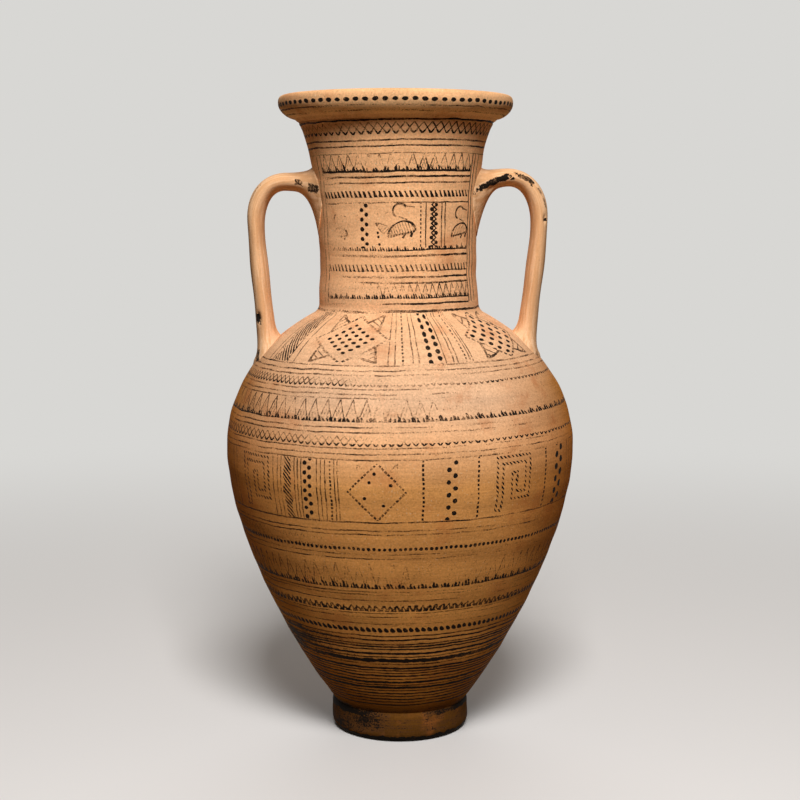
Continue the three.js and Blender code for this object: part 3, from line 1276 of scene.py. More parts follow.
@dataclass(frozen=True)
class Key(Ornament):
    """A square meander hook in a dotted outline."""

    turns: tuple[float, ...]
    low: float
    high: float
    half_width: float = 19.0
    bar: float = 5.8
    stroke: float = 2.3
    bead: float = 4.2
    wear: Wear = FRESH
    corners: tuple[Pair, ...] = (
        (-1, -1), (-1, 1), (1, 1), (1, -0.55), (0, -0.55), (0, 0.3))

    def paint(self, at: Field) -> Wire:
        """See Ornament."""
        middle, reach = span(self.low, self.high)
        level = at.height - middle
        degree = at.degree(middle)
        keys = (self._key(at, (at.turn - turn) * degree, level, reach) for turn in self.turns)
        return either(keys) & at.strength(self.wear)

    def _key(self, at: Field, aside: Wire, level: Wire, reach: float) -> Wire:
        """One hook, as the dotted outline of a bent bar.

        Args:
            at: Where it is painted.
            aside: Millimetres beside its middle.
            level: Millimetres above its middle.
            reach: Half its height.

        Returns:
            The hook.
        """
        half, thick = self.half_width - self.bar / 2, self.bar / 2
        spots = [(across * half, up * (reach - thick)) for across, up in self.corners]
        nearest = functools.reduce(Wire.least, (
            (abs(aside - (left + right) / 2) - (abs(right - left) / 2 + thick))
            | (abs(level - (low + high) / 2) - (abs(high - low) / 2 + thick))
            for (left, low), (right, high) in zip(spots, spots[1:])))
        beads = ((aside + level) / self.bead).swing() < at.pressure * 0.24
        return nearest.near(0, at.pressure * (self.stroke / 2)) & beads


@dataclass(frozen=True)
class Bird(Ornament):
    """A long-necked water bird with a hatched back over a bold belly line, facing right."""

    turn: float
    base: float
    size: float = 1.0
    stroke: float = 1.2
    wear: Wear = GOOD
    neck_middle: Pair = (-0.6, 34.0)
    neck_radius: float = 6.2
    neck_cut: float = -32.5
    throat: tuple[Pair, Pair] = ((-1.6, 28.6), (5.7, 25.7))
    beak: tuple[Pair, Pair] = ((4.1, 38.0), (12.2, 36.7))
    legs: tuple[tuple[Pair, Pair, float], ...] = (
        ((4.1, 13.9), (1.4, 9.9), 1.5), ((10.2, 14.5), (8.6, 10.6), 1.8))
    belly: Pair = (0.6, 13.5)
    belly_slope: float = 0.17
    back: Pair = (12.4, 10.6)
    hatching: float = 2.3
    dashing: float = 2.6

    def paint(self, at: Field) -> Wire:
        """See Ornament."""
        scale = 1 / self.size
        aside = (at.turn - self.turn) * (at.degree(self.base) * scale)
        level = (at.height - self.base) * scale
        width = at.pressure * (self.stroke / 2)
        across, up = self.neck_middle
        off = ((aside - across) ** 2.0 + (level - up) ** 2.0) ** 0.5
        neck = (abs(off - self.neck_radius) < width * 1.5) & ((aside - level) < self.neck_cut)
        thin = self._stroke(aside, level, *self.throat, width)
        beak = self._stroke(aside, level, *self.beak, width * 0.8)
        legs = either(self._stroke(aside, level, start, end, width * thick)
                      for start, end, thick in self.legs)
        drawing = neck | beak | legs | (thin * THIN_STROKE) | self._body(aside, level, width)
        return drawing & at.strength(self.wear)

    def _body(self, aside: Wire, level: Wire, width: Wire) -> Wire:
        """A low dome with slanted hatching, over a belly line drawn in dashes.

        Args:
            aside: Millimetres beside the bird's place.
            level: Millimetres above it.
            width: Half the width of a stroke.

        Returns:
            The body.
        """
        across, up = self.belly
        long, tall = self.back
        over = level - up - aside * self.belly_slope
        along = (aside - across) / long
        dome = ((over / tall) ** 2.0 + along * along) ** 0.5
        outline = (abs(dome - 1) < width / 8) & (over > 0)
        hatch = ((aside + over * 0.35) / self.hatching).swing() < width * 0.22
        beat = (aside / self.dashing).swing() > 0.1
        dashes = (abs(over) < width * 1.7) & (abs(along) < 1) & beat
        return outline | dashes | ((hatch & (dome < 1) & (over > 0)) * THIN_STROKE)

    @staticmethod
    def _stroke(aside: Wire, level: Wire, start: Pair, end: Pair, width: Wire) -> Wire:
        """A straight stroke between two points.

        Args:
            aside: Millimetres beside the bird's place.
            level: Millimetres above it.
            start: One point.
            end: The other.
            width: Half the width of the stroke.

        Returns:
            The stroke.
        """
        run, rise = end[0] - start[0], end[1] - start[1]
        length = math.hypot(run, rise)
        middle = ((start[0] + end[0]) / 2, (start[1] + end[1]) / 2)
        east, north = aside - middle[0], level - middle[1]
        along = east * (run / length) + north * (rise / length)
        off = north * (run / length) - east * (rise / length)
        return (abs(off) < width) & (abs(along) < length / 2)


@dataclass(frozen=True)
class Leaf(Ornament):
    """A leaning, hatched leaf."""

    turn: float
    height: float
    half_length: float = 8.5
    half_width: float = 3.6
    tilt: float = -35.0
    wear: Wear = WORN

    def paint(self, at: Field) -> Wire:
        """See Ornament."""
        aside = (at.turn - self.turn) * at.degree(self.height)
        level = at.height - self.height
        lean = math.radians(self.tilt)
        along = (aside * math.cos(lean) + level * math.sin(lean)) / self.half_length
        over = (level * math.cos(lean) - aside * math.sin(lean)) / self.half_width
        shape = abs(along) + over * over
        outline = abs(shape - 1) < at.pressure * 0.16
        hatch = ((aside - level) / 3.2).swing() < at.pressure * 0.14
        return (outline | (hatch & (shape < 1))) & at.strength(self.wear)


@dataclass(frozen=True)
class Spots(Ornament):
    """Single blobs of paint, each at a turn and a height."""

    places: tuple[Pair, ...]
    size: float = 3.0
    wear: Wear = FRESH

    def paint(self, at: Field) -> Wire:
        """See Ornament."""
        scale = 2 / self.size
        spots = (oval((at.turn - turn) * (at.degree(height) * scale), (at.height - height) * scale)
                 < at.pressure for turn, height in self.places)
        return either(spots) & at.strength(self.wear)


@dataclass(frozen=True)
class Smear(Ornament):
    """A zone once painted solid, now rubbed, with a ragged edge."""

    low: float
    high: float
    wear: Wear = FAINT
    ragged: float = 3.0

    def paint(self, at: Field) -> Wire:
        """See Ornament."""
        middle, reach = span(self.low, self.high)
        edge = at.pressure * self.ragged
        return at.height.near(middle, reach - self.ragged + edge) & at.strength(self.wear)


@dataclass(frozen=True)
class PaintedClay:
    """The clay with its worn, brown-black slip paint."""

    clay: FiredClay
    wall: Wall
    throwing: Throwing
    black: Colour = paint_tin(24, 21, 19)
    brown: Colour = paint_tin(98, 64, 38)
    # Painted shade: this colour multiplies the clay on the belly's flanks towards the handles,
    # darker and browner as if the light fell off there.
    flank: Colour = paint_tin(207, 169, 100)
    side_shade_turns: Pair = (30.0, 78.0)
    side_shade_start: Pair = (120.0, 220.0)
    side_shade_end: Pair = (372.0, 338.0)
    thin: float = 0.72
    thick: float = 0.98
    patchy: float = 2.6
    gloss: float = 0.66

    def material(self, name: str, ornaments: Sequence[Ornament]) -> Material:
        """Paints ornaments on the clay.

        Args:
            name: The material's name.
            ornaments: What is painted.

        Returns:
            The material.
        """
        bench = Bench.for_material(name)
        at = Field(bench, self.wall, self.throwing)
        paint = either(ornament.paint(at) for ornament in ornaments)
        streaked = bench.vector("MULTIPLY", at.place, (0.35, 0.35, 5))
        tone = self.clay.colour(bench, at.place, at.true_height, streaked)
        # Painted shade on the flanks: the clay is darkened and browned from about 30 to 78 degrees
        # round from the front, between the lower belly and the shoulder.
        belly = at.true_height.ramp(*self.side_shade_start) & at.true_height.ramp(*self.side_shade_end)
        flank = abs(at.turn).ramp(*self.side_shade_turns) & belly
        tone = bench.mix(flank, tone, self.flank, "MULTIPLY")
        tone, rough = self.coat(bench, at.place, tone, paint)
        return self.clay.fire(bench, tone, rough, at.place, streaked)

    def coat(self, bench: Bench, place: Socket, tone: Socket, paint: Wire) -> tuple[Socket, Wire]:
        """Lays paint on the clay, rubbed along the turning, in patches and in grains.

        Args:
            bench: The material's bench.
            place: The point in millimetres.
            tone: The clay's colour.
            paint: The paint laid on, from 0 to 1.

        Returns:
            The colour, with a brown film where the paint is thin, and the roughness.
        """
        rubbed = bench.cloud(bench.vector("MULTIPLY", place, (0.12, 0.12, 0.9)), 5, 3, 0.6)
        patch = bench.cloud(bench.vector("ADD", place, (40, 0, 700)), 17, 4, 0.6)
        grain = bench.cloud(place, 1.3, 2, 0.7)
        wear = rubbed * 0.3 + patch * 0.3 + grain * 0.4
        excess = paint - ((wear - 0.5) * self.patchy + 0.5)
        film, body = excess.ease(-0.12, 0.05) & (paint > 0.01), excess.ease(0.04, 0.24)
        tone = bench.mix(film * self.thin, tone, self.brown)
        rough = self.clay.roughness - body * (self.clay.roughness - self.gloss)
        return bench.mix(body * self.thick, tone, self.black), rough


@dataclass(frozen=True)
class Workshop:
    """What every piece of the jar is made with."""

    wall: Wall
    lathe: Lathe
    clay: FiredClay
    paint: PaintedClay

    @property
    def throwing(self) -> Throwing:
        """The hand that threw the jar."""
        return self.lathe.throwing


class Piece(ABC):
    """One piece of the jar, which the picture shows for the packed solid of the same name."""

    name: str
    slot: str

    @abstractmethod
    def shape(self, shop: Workshop) -> bpy.types.Object:
        """Makes the piece's mesh object."""

    @abstractmethod
    def dress(self, shop: Workshop, piece: bpy.types.Object) -> None:
        """Gives the piece its materials."""

    def make(self, shop: Workshop) -> bpy.types.Object:
        """Makes, dresses and places the piece.

        Args:
            shop: What it is made with.

        Returns:
            The finished piece.
        """
        piece = self.shape(shop)
        self.dress(shop, piece)
        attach(piece, BODY)
        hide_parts(self.name)
        LOG.info("%s: %d faces, %s", piece.name, len(piece.data.polygons),
                 ", ".join(material.name for material in piece.data.materials))
        return piece


class ThrownSection(Piece):
    """A section thrown on the wheel and painted outside."""

    @abstractmethod
    def outline(self, wall: Wall) -> list[Stretch]:
        """The closed outline that the lathe turns."""

    @abstractmethod
    def ornaments(self) -> list[Ornament]:
        """What is painted on it."""

    @staticmethod
    def tube(outer: np.ndarray, inner: np.ndarray) -> list[Stretch]:
        """The outline of an open wall, up its outer face and down its inner one.

        Args:
            outer: The outer face, upwards.
            inner: The inner face, downwards.

        Returns:
            Its four stretches.
        """
        return [Stretch(outer, Face.OUTER),
                Stretch(np.array([outer[-1], inner[0]]), Face.HIGH_JOINT),
                Stretch(inner, Face.INNER),
                Stretch(np.array([inner[-1], outer[0]]), Face.LOW_JOINT)]

    def shape(self, shop: Workshop) -> bpy.types.Object:
        """See Piece."""
        return shop.lathe.turn(f"{self.name}_fired", self.outline(shop.wall))

    def dress(self, shop: Workshop, piece: bpy.types.Object) -> None:
        """See Piece."""
        painted = shop.paint.material(f"painted_{self.name}", self.ornaments())
        bare = bpy.data.materials.get("bare_clay") or shop.clay.bare("bare_clay")
        piece.data.materials.append(painted)
        piece.data.materials.append(bare)


@dataclass(frozen=True)
class FootRing(ThrownSection):
    """The turned ring that the jar stands on, hollow under the floor."""

    name: str = "foot_ring"
    slot: str = "foot_clay"
    rest_outer: float = 58.5
    rest_inner: float = 47.0
    recess_top: float = 42.0
    edge_rise: float = 8.0
    inner_edge: float = 3.0
    inner_bevel: float = 1.0
    shoulder_drop: float = 5.0
    step: float = 0.8

    def outline(self, wall: Wall) -> list[Stretch]:
        """See ThrownSection."""
        at = wall.levels
        seat = wall.stem_radius
        low = curve((self.rest_outer, 0), (self.edge_rise / 2, 0),
                    (at.foot_radius, self.edge_rise), (0, self.edge_rise / 2), self.step)
        side = even(np.array([low[-1], (at.foot_radius, at.stem - self.shoulder_drop)]), self.step)
        high = curve(side[-1], (0, self.shoulder_drop / 2), (seat, at.stem),
                     ((seat - at.foot_radius) / 2, 0), self.step)
        joint = np.array([(seat, at.stem), (self.recess_top, at.stem)])
        bevel = (self.rest_inner - self.inner_bevel, self.inner_edge)
        inner = even(np.array([joint[-1], bevel, (self.rest_inner, 0)]), 2 * self.step)
        rest = np.array([(self.rest_inner, 0), (self.rest_outer, 0)])
        return [Stretch(chain(low, side, high), Face.OUTER), Stretch(joint, Face.HIGH_JOINT),
                Stretch(inner, Face.INNER), Stretch(rest, Face.LOW_JOINT)]

    def ornaments(self) -> list[Ornament]:
        """See ThrownSection."""
        return [
            Smear(-4.0, 5.5, FRESH, 4.0),
            Smear(23.5, 32.0, Wear(0.95, 0.36, 0.8), 3.5),
            Smear(8.0, 24.0, Wear(0.72, 0.36, 0.44), 6.0),
            Lines((21.5, 19.3, 16.4, 14.0, 10.8), 1.2, Wear(0.6, 0.54, 0.46)),
        ]


@dataclass(frozen=True)
class Frieze:
    """The panelled frieze round the widest point, painted across the joint of the two bellies."""

    low: float = 230.4
    high: float = 284.0

    def ornaments(self) -> list[Ornament]:
        """Panels of keys and a star between groups of strokes and checkered columns."""
        low, high = self.low, self.high
        strokes = (-42.6, -40.7, -39.2, -33.8, -32.6, -31.4, -25.9, -24.6, -23.2, -20.1, -19.0)
        return [
            Uprights(Upright.LINE, strokes, low, high, 1.1, wear=Wear(0.66, 0.56, 0.66)),
            Uprights(Upright.ROPE, (-36.6,), low, high, 8.0, 3.9, FRESH),
            Uprights(Upright.DOTTED, (-21.5,), low, high, 1.6, 3.4, GOOD),
            Uprights(Upright.CHECKER, (-30.1, -28.4), low, high, 4.0, 8.0, FRESH),
            Uprights(Upright.CHECKER, (14.8, 16.8), low, high, 4.2, 11.0, FRESH),
            Uprights(Upright.CHECKER, (59.4, 62.6), low, high, 6.0, 11.0, FRESH),
            Uprights(Upright.DOTTED, (6.9, 24.4, 52.3), low, high, 1.9, 4.0, FRESH),
            Uprights(Upright.LINE, (68.5, 71.4, -64.6, -67.5), low, high, 1.1),
            Star(-7.0, low + 1, high - 2, 8.7, 0.7, 0.3, 1.3, 3.6, True, FRESH),
            Spots(((-7.9, 272.8), (-9.2, 265.1), (-3.0, 262.8), (-10.5, 251.4), (-4.9, 245.5))),
            Key((-51.5, 37.7), 234.8, 281.5),
        ]


@dataclass(frozen=True)
class LowerBelly(ThrownSection):
    """The floor and the wall up to the widest point, with the panelled frieze at its top."""

    name: str = "lower_belly"
    slot: str = "belly_clay"

    def outline(self, wall: Wall) -> list[Stretch]:
        """See ThrownSection."""
        outer, inner = wall.lower_outer, wall.lower_inner[::-1]
        under = even(np.array([(0, wall.levels.stem), outer[0]]), wall.inner_step)
        joint = np.array([outer[-1], inner[0]])
        return [Stretch(under, Face.LOW_JOINT), Stretch(outer, Face.OUTER),
                Stretch(joint, Face.HIGH_JOINT), Stretch(inner, Face.INNER)]

    def ornaments(self) -> list[Ornament]:
        """See ThrownSection."""
        return [*Frieze().ornaments(), *self._bands(), *self._base()]

    @staticmethod
    def _bands() -> list[Ornament]:
        """Rows and lines between the frieze and the close bands."""
        return [
            Lines((229.4,), 1.3, Wear(0.75, 0.6, 0.6)),
            Lines((221.9, 218.2), 1.2, Wear(0.66, 0.52, 0.34)),
            Row(Motif.NET, 203.6, 216.0, 140, 1.0, Wear(0.6, 0.24, 0.2)),
            Row(Motif.DOTS, 203.1, 206.4, 214, 3.1, Wear(0.85, 0.8, 0.95)),
            Lines((199.9, 195.5), 1.2, Wear(0.62, 0.48, 0.34)),
            Row(Motif.TRIANGLES, 168.0, 191.0, 88, 1.2, Wear(0.62, 0.3, 0.52)),
            Row(Motif.TOOTHED, 166.4, 173.6, 88, 1.3, Wear(0.95, 0.78, 0.9),
                fine=Wear(0.8, 0.4, 0.9)),
            Lines((163.2, 160.4), 1.0, Wear(0.62, 0.46, 0.4)),
            Row(Motif.ZIGZAG, 143.4, 149.6, 140, 1.6, Wear(0.74, 0.72, 0.85)),
            Lines((141.6,), 1.0, Wear(0.5, 0.6, 0.4)),
            Lines((154.3, 137.8, 130.7), 1.0, Wear(0.62, 0.5, 0.4)),
            Row(Motif.WEDGES, 121.7, 126.7, 138, 4.2, FRESH),
        ]

    @staticmethod
    def _base() -> list[Ornament]:
        """The close bands near the foot."""
        return [
            Lines((117.8, 109.0, 95.2, 49.7, 42.7), 1.3, Wear(0.75, 0.72, 0.68)),
            Lines((103.7, 79.7, 52.9, 46.1, 39.0), 1.5, Wear(0.9, 0.95, 0.9)),
            Lines((113.6, 106.5, 73.6), 1.8, Wear(0.85, 0.82, 0.78)),
            Lines((98.9, 82.6), 2.2, Wear(0.85, 0.98, 0.85)),
            Lines((91.3,), 4.0, Wear(0.8, 1.0, 0.75)),
            Lines((66.0, 59.7), 2.4, Wear(0.9, 0.98, 0.92)),
            Lines((87.1, 76.7, 69.9, 62.7, 56.3), 1.3, Wear(0.74, 0.66, 0.68)),
            Smear(89.2, 116.8, Wear(0.58, 0.24, 0.1), 6.0),
            Smear(26.0, 32.0, Wear(0.7, 0.45, 0.55)),
        ]


@dataclass(frozen=True)
class UpperBelly(ThrownSection):
    """The wall from the widest point over the shoulder to the neck."""

    name: str = "upper_belly"
    slot: str = "shoulder_clay"
    zone_low: float = 362.7
    zone_high: float = 403.2

    def outline(self, wall: Wall) -> list[Stretch]:
        """See ThrownSection."""
        return self.tube(wall.upper_outer, wall.upper_inner[::-1])

    def ornaments(self) -> list[Ornament]:
        """See ThrownSection."""
        low, high = self.zone_low, self.zone_high
        strokes = (-65.8, -62.4, -50.8, -46.9, -4.3, -1.7, 5.4, 7.8, 18.7, 22.0, 23.8, 29.6, 30.9)
        return [
            *Frieze().ornaments(),
            Lines((404.7,), 2.2, Wear(0.46, 0.6, 0.8)),
            Uprights(Upright.LINE, strokes, low, high, 1.0, wear=Wear(0.66, 0.56, 0.64)),
            Uprights(Upright.LINE, (-81.2, -85.1, 80.7, 85.6), low, high, 1.0, wear=WORN),
            Uprights(Upright.DOTTED, (1.4, 27.8), low, high, 1.5, 2.9, GOOD),
            Uprights(Upright.ROPE, (-56.4,), low, high, 17.0, 3.4, GOOD),
            Uprights(Upright.CHECKER, (12.6, 16.6), low, high, 3.9, 5.6, FRESH),
            Star(-23.9, low + 1, high - 1.5, 19.0, inset=0.2),
            Star(53.4, low + 1, high - 1.5, 19.0, bead=6.4, inset=0.12),
            Lines((361.7, 357.5, 353.9), 1.1, Wear(0.56, 0.46, 0.5)),
            Row(Motif.NET, 344.9, 351.6, 154, 1.2, Wear(0.85, 0.42, 0.8), fine=Wear(0.8, 0.6, 0.1)),
            Lines((342.9, 338.7, 335.3), 1.1, Wear(0.58, 0.4, 0.2)),
            Row(Motif.TRIANGLES, 317.5, 334.4, 82, 1.0, Wear(0.7, 0.4, 0.2)),
            Row(Motif.TOOTHED, 316.0, 321.9, 82, 1.2, Wear(0.86, 0.66, 0.85),
                fine=Wear(0.8, 0.35, 0.3)),
            Lines((311.7, 307.5), 1.2, Wear(0.62, 0.48, 0.26)),
            Row(Motif.NET, 296.2, 304.5, 148, 1.2, Wear(0.9, 0.7, 0.95), fine=Wear(0.95, 0.4, 0.1)),
            Lines((294.6, 289.6), 1.1, Wear(0.6, 0.48, 0.38)),
            Lines((284.9,), 1.2, Wear(0.6, 0.52, 0.38)),
        ]


@dataclass(frozen=True)
class Neck(ThrownSection):
    """The tall neck, with a panel of water birds and a turned groove under the lip."""

    name: str = "neck"
    slot: str = "neck_clay"
    groove_depth: float = 1.1
    groove_width: float = 3.0
    groove_drop: float = 3.5
    step: float = 0.8
    field_edge: float = 58.7

    def outline(self, wall: Wall) -> list[Stretch]:
        """See ThrownSection."""
        outer = even(wall.neck_outer, self.step)
        off = np.abs(outer[:, 1] - (wall.levels.lip - self.groove_drop)) / (self.groove_width / 2)
        outer[:, 0] -= self.groove_depth * (1 + np.cos(np.pi * np.minimum(off, 1))) / 2
        return self.tube(outer, wall.neck_inner[::-1])

    def ornaments(self) -> list[Ornament]:
        """See ThrownSection."""
        return [*self._upper_rows(), *self._bird_panel(), *self._lower_rows()]

    def _upper_rows(self) -> list[Ornament]:
        """Rows from the groove down to the birds."""
        edge = self.field_edge
        return [
            Lines((574.3,), 1.4, Wear(0.8, 0.75, 0.9)),
            Row(Motif.NET, 562.1, 572.3, 68, 1.4, Wear(0.85, 0.8, 0.9), fine=Wear(0.5, 0.8, 0.85)),
            Lines((556.9, 551.8), 1.4, Wear(0.66, 0.7, 0.72)),
            Lines((545.4,), 0.9, Wear(0.5, 0.5, 0.66)),
            Row(Motif.TRIANGLES, 530.8, 545.4, 50, 1.0, Wear(0.55, 0.46, 0.72), edge),
            Row(Motif.TOOTHED, 529.0, 536.0, 50, 2.0, Wear(0.85, 0.9, 0.95), edge, FRESH),
            Lines((525.0,), 1.8, Wear(0.5, 0.8, 0.8), edge),
            Lines((519.6,), 1.4, Wear(0.42, 0.6, 0.72), edge),
            Row(Motif.TICKS, 506.8, 512.6, 102, 1.9, Wear(0.85, 0.85, 0.95), edge),
            Lines((502.1,), 1.2, Wear(0.5, 0.6, 0.85), edge),
        ]

    @staticmethod
    def _bird_panel() -> list[Ornament]:
        """Birds between checkered columns."""
        low, high = 461.8, 501.6
        return [
            Uprights(Upright.CHECKER, (-25.0, -21.7), low, high, 3.8, 8.4, FRESH),
            Uprights(Upright.CHECKER, (24.3, 27.8), low, high, 3.6, 8.4, Wear(0.9, 0.9, 0.85),
                     linked=True),
            Uprights(Upright.DASHES, (16.3,), low, high, 1.3, 3.8, GOOD),
            Uprights(Upright.LINE, (20.0, 32.0, 34.9), low, high, 1.2, wear=GOOD),
            Bird(2.5, 460.8, wear=GOOD),
            Bird(49.6, 460.8, 0.92, wear=Wear(0.5, 0.5, 0.72)),
            Bird(-45.6, 460.8, 0.8, wear=Wear(0.4, 0.4, 0.4)),
            Leaf(-9.0, 478.8),
            Spots(((-13.2, 472.5), (-13.6, 475.9), (-12.8, 465.7)), 2.4),
        ]

    def _lower_rows(self) -> list[Ornament]:
        """Rows under the birds, and the strokes that close the painted field at the sides."""
        edge = self.field_edge
        return [
            Row(Motif.TOOTHED, 459.3, 464.3, 62, 1.4, Wear(0.4, 0.8, 0.95), edge,
                Wear(0.2, 0.6, 0.95)),
            Lines((454.7,), 2.0, Wear(0.2, 0.56, 0.95), edge),
            Row(Motif.TICKS, 440.5, 446.9, 102, 1.4, Wear(0.72, 0.68, 0.85), edge),
            Lines((441.2,), 1.1, Wear(0.3, 0.46, 0.8), edge),
            Lines((435.6, 430.5), 1.7, Wear(0.2, 0.54, 0.92), edge),
            Row(Motif.TRIANGLES, 417.7, 430.1, 66, 1.0, Wear(0.3, 0.46, 0.7), edge),
            Row(Motif.TOOTHED, 416.1, 421.9, 66, 1.2, Wear(0.85, 0.9, 0.98), edge,
                Wear(0.3, 0.5, 0.9)),
            Lines((411.4,), 1.6, Wear(0.36, 0.62, 0.85), edge),
            Uprights(Upright.LINE, (59.5, 63.0, 68.4), 411.6, 545.6, 1.4, wear=Wear(0, 0, 0.8)),
            Uprights(Upright.LINE, (-59.1, -64.3), 411.6, 545.6, 1.2, wear=WORN),
        ]


@dataclass(frozen=True)
class MouthRim(ThrownSection):
    """The moulded lip, with a row of dots on its band."""

    name: str = "mouth_rim"
    slot: str = "lip_clay"
    band_height: float = 6.5
    undercut: Pair = (7.0, 1.0)
    fullness: float = 7.0
    brow_reach: float = 5.0
    top_outer: float = 103.5
    top_inner: float = 97.5
    inner_edge: float = 4.0
    step: float = 0.7

    def outline(self, wall: Wall) -> list[Stretch]:
        """See ThrownSection."""
        at = wall.levels
        seat = (wall.lip_seat_radius, at.lip)
        inside = (wall.lip_seat_radius - wall.lip_seat_width, at.lip)
        band = (at.lip_radius, at.top - self.band_height)
        side = curve(seat, self.undercut, band, (0, self.fullness), self.step)
        brow = curve(band, (0, self.band_height / 2), (self.top_outer, at.top),
                     (-self.brow_reach, 0), self.step)
        top = even(np.array([brow[-1], (self.top_inner, at.top)]), self.step)
        fall = np.subtract(inside, top[-1])
        fall *= self.inner_edge / np.linalg.norm(fall)
        inner = curve(top[-1], (-self.inner_edge, 0), inside, fall, self.step)
        return [Stretch(chain(side, brow, top), Face.OUTER), Stretch(inner, Face.INNER),
                Stretch(np.array([inside, seat]), Face.LOW_JOINT)]

    def ornaments(self) -> list[Ornament]:
        """See ThrownSection."""
        return [
            Row(Motif.DOTS, 589.0, 592.8, 78, 4.8, FRESH),
            Lines((585.8,), 1.0, WORN),
            Lines((581.4,), 0.9, FAINT),
        ]


@dataclass(frozen=True)
class Root:
    """How the end of a handle thickens over and under its middle line and spreads to the sides."""

    over: float
    over_length: float
    under: float
    under_length: float
    spread: float


@dataclass(frozen=True)
class Trace:
    """A trace of worn black paint along a handle's front flank.

    It runs between two distances along the roll, at a height over the middle line that changes
    evenly. The flank starts a little in front of the middle line.
    """

    start: float
    end: float
    rise: float
    end_rise: float
    width: float
    left: float
    flank: float = 4.0

    def paint(self, along: Wire, aside: Wire, rise: Wire, waver: Wire) -> Wire:
        """Lays the trace on the roll.

        Args:
            along: Distance along the roll.
            aside: Distance behind its middle line.
            rise: Distance over its middle line.
            waver: Share of the trace's size that is left at each point.

        Returns:
            The paint, from 0 to 1.
        """
        share = along.ramp(self.start, self.end)
        middle = share * (self.end_rise - self.rise) + self.rise
        run, reach = span(self.start, self.end)
        mask = rise.near(middle, waver * (self.width / 2)) & along.near(run, waver * reach)
        return mask & (aside < -self.flank) & self.left


@dataclass(frozen=True)
class Chip:
    """A place where clay has broken away: along the roll, round it, its size and its depth."""

    along: float
    turn: float
    size: float
    depth: float


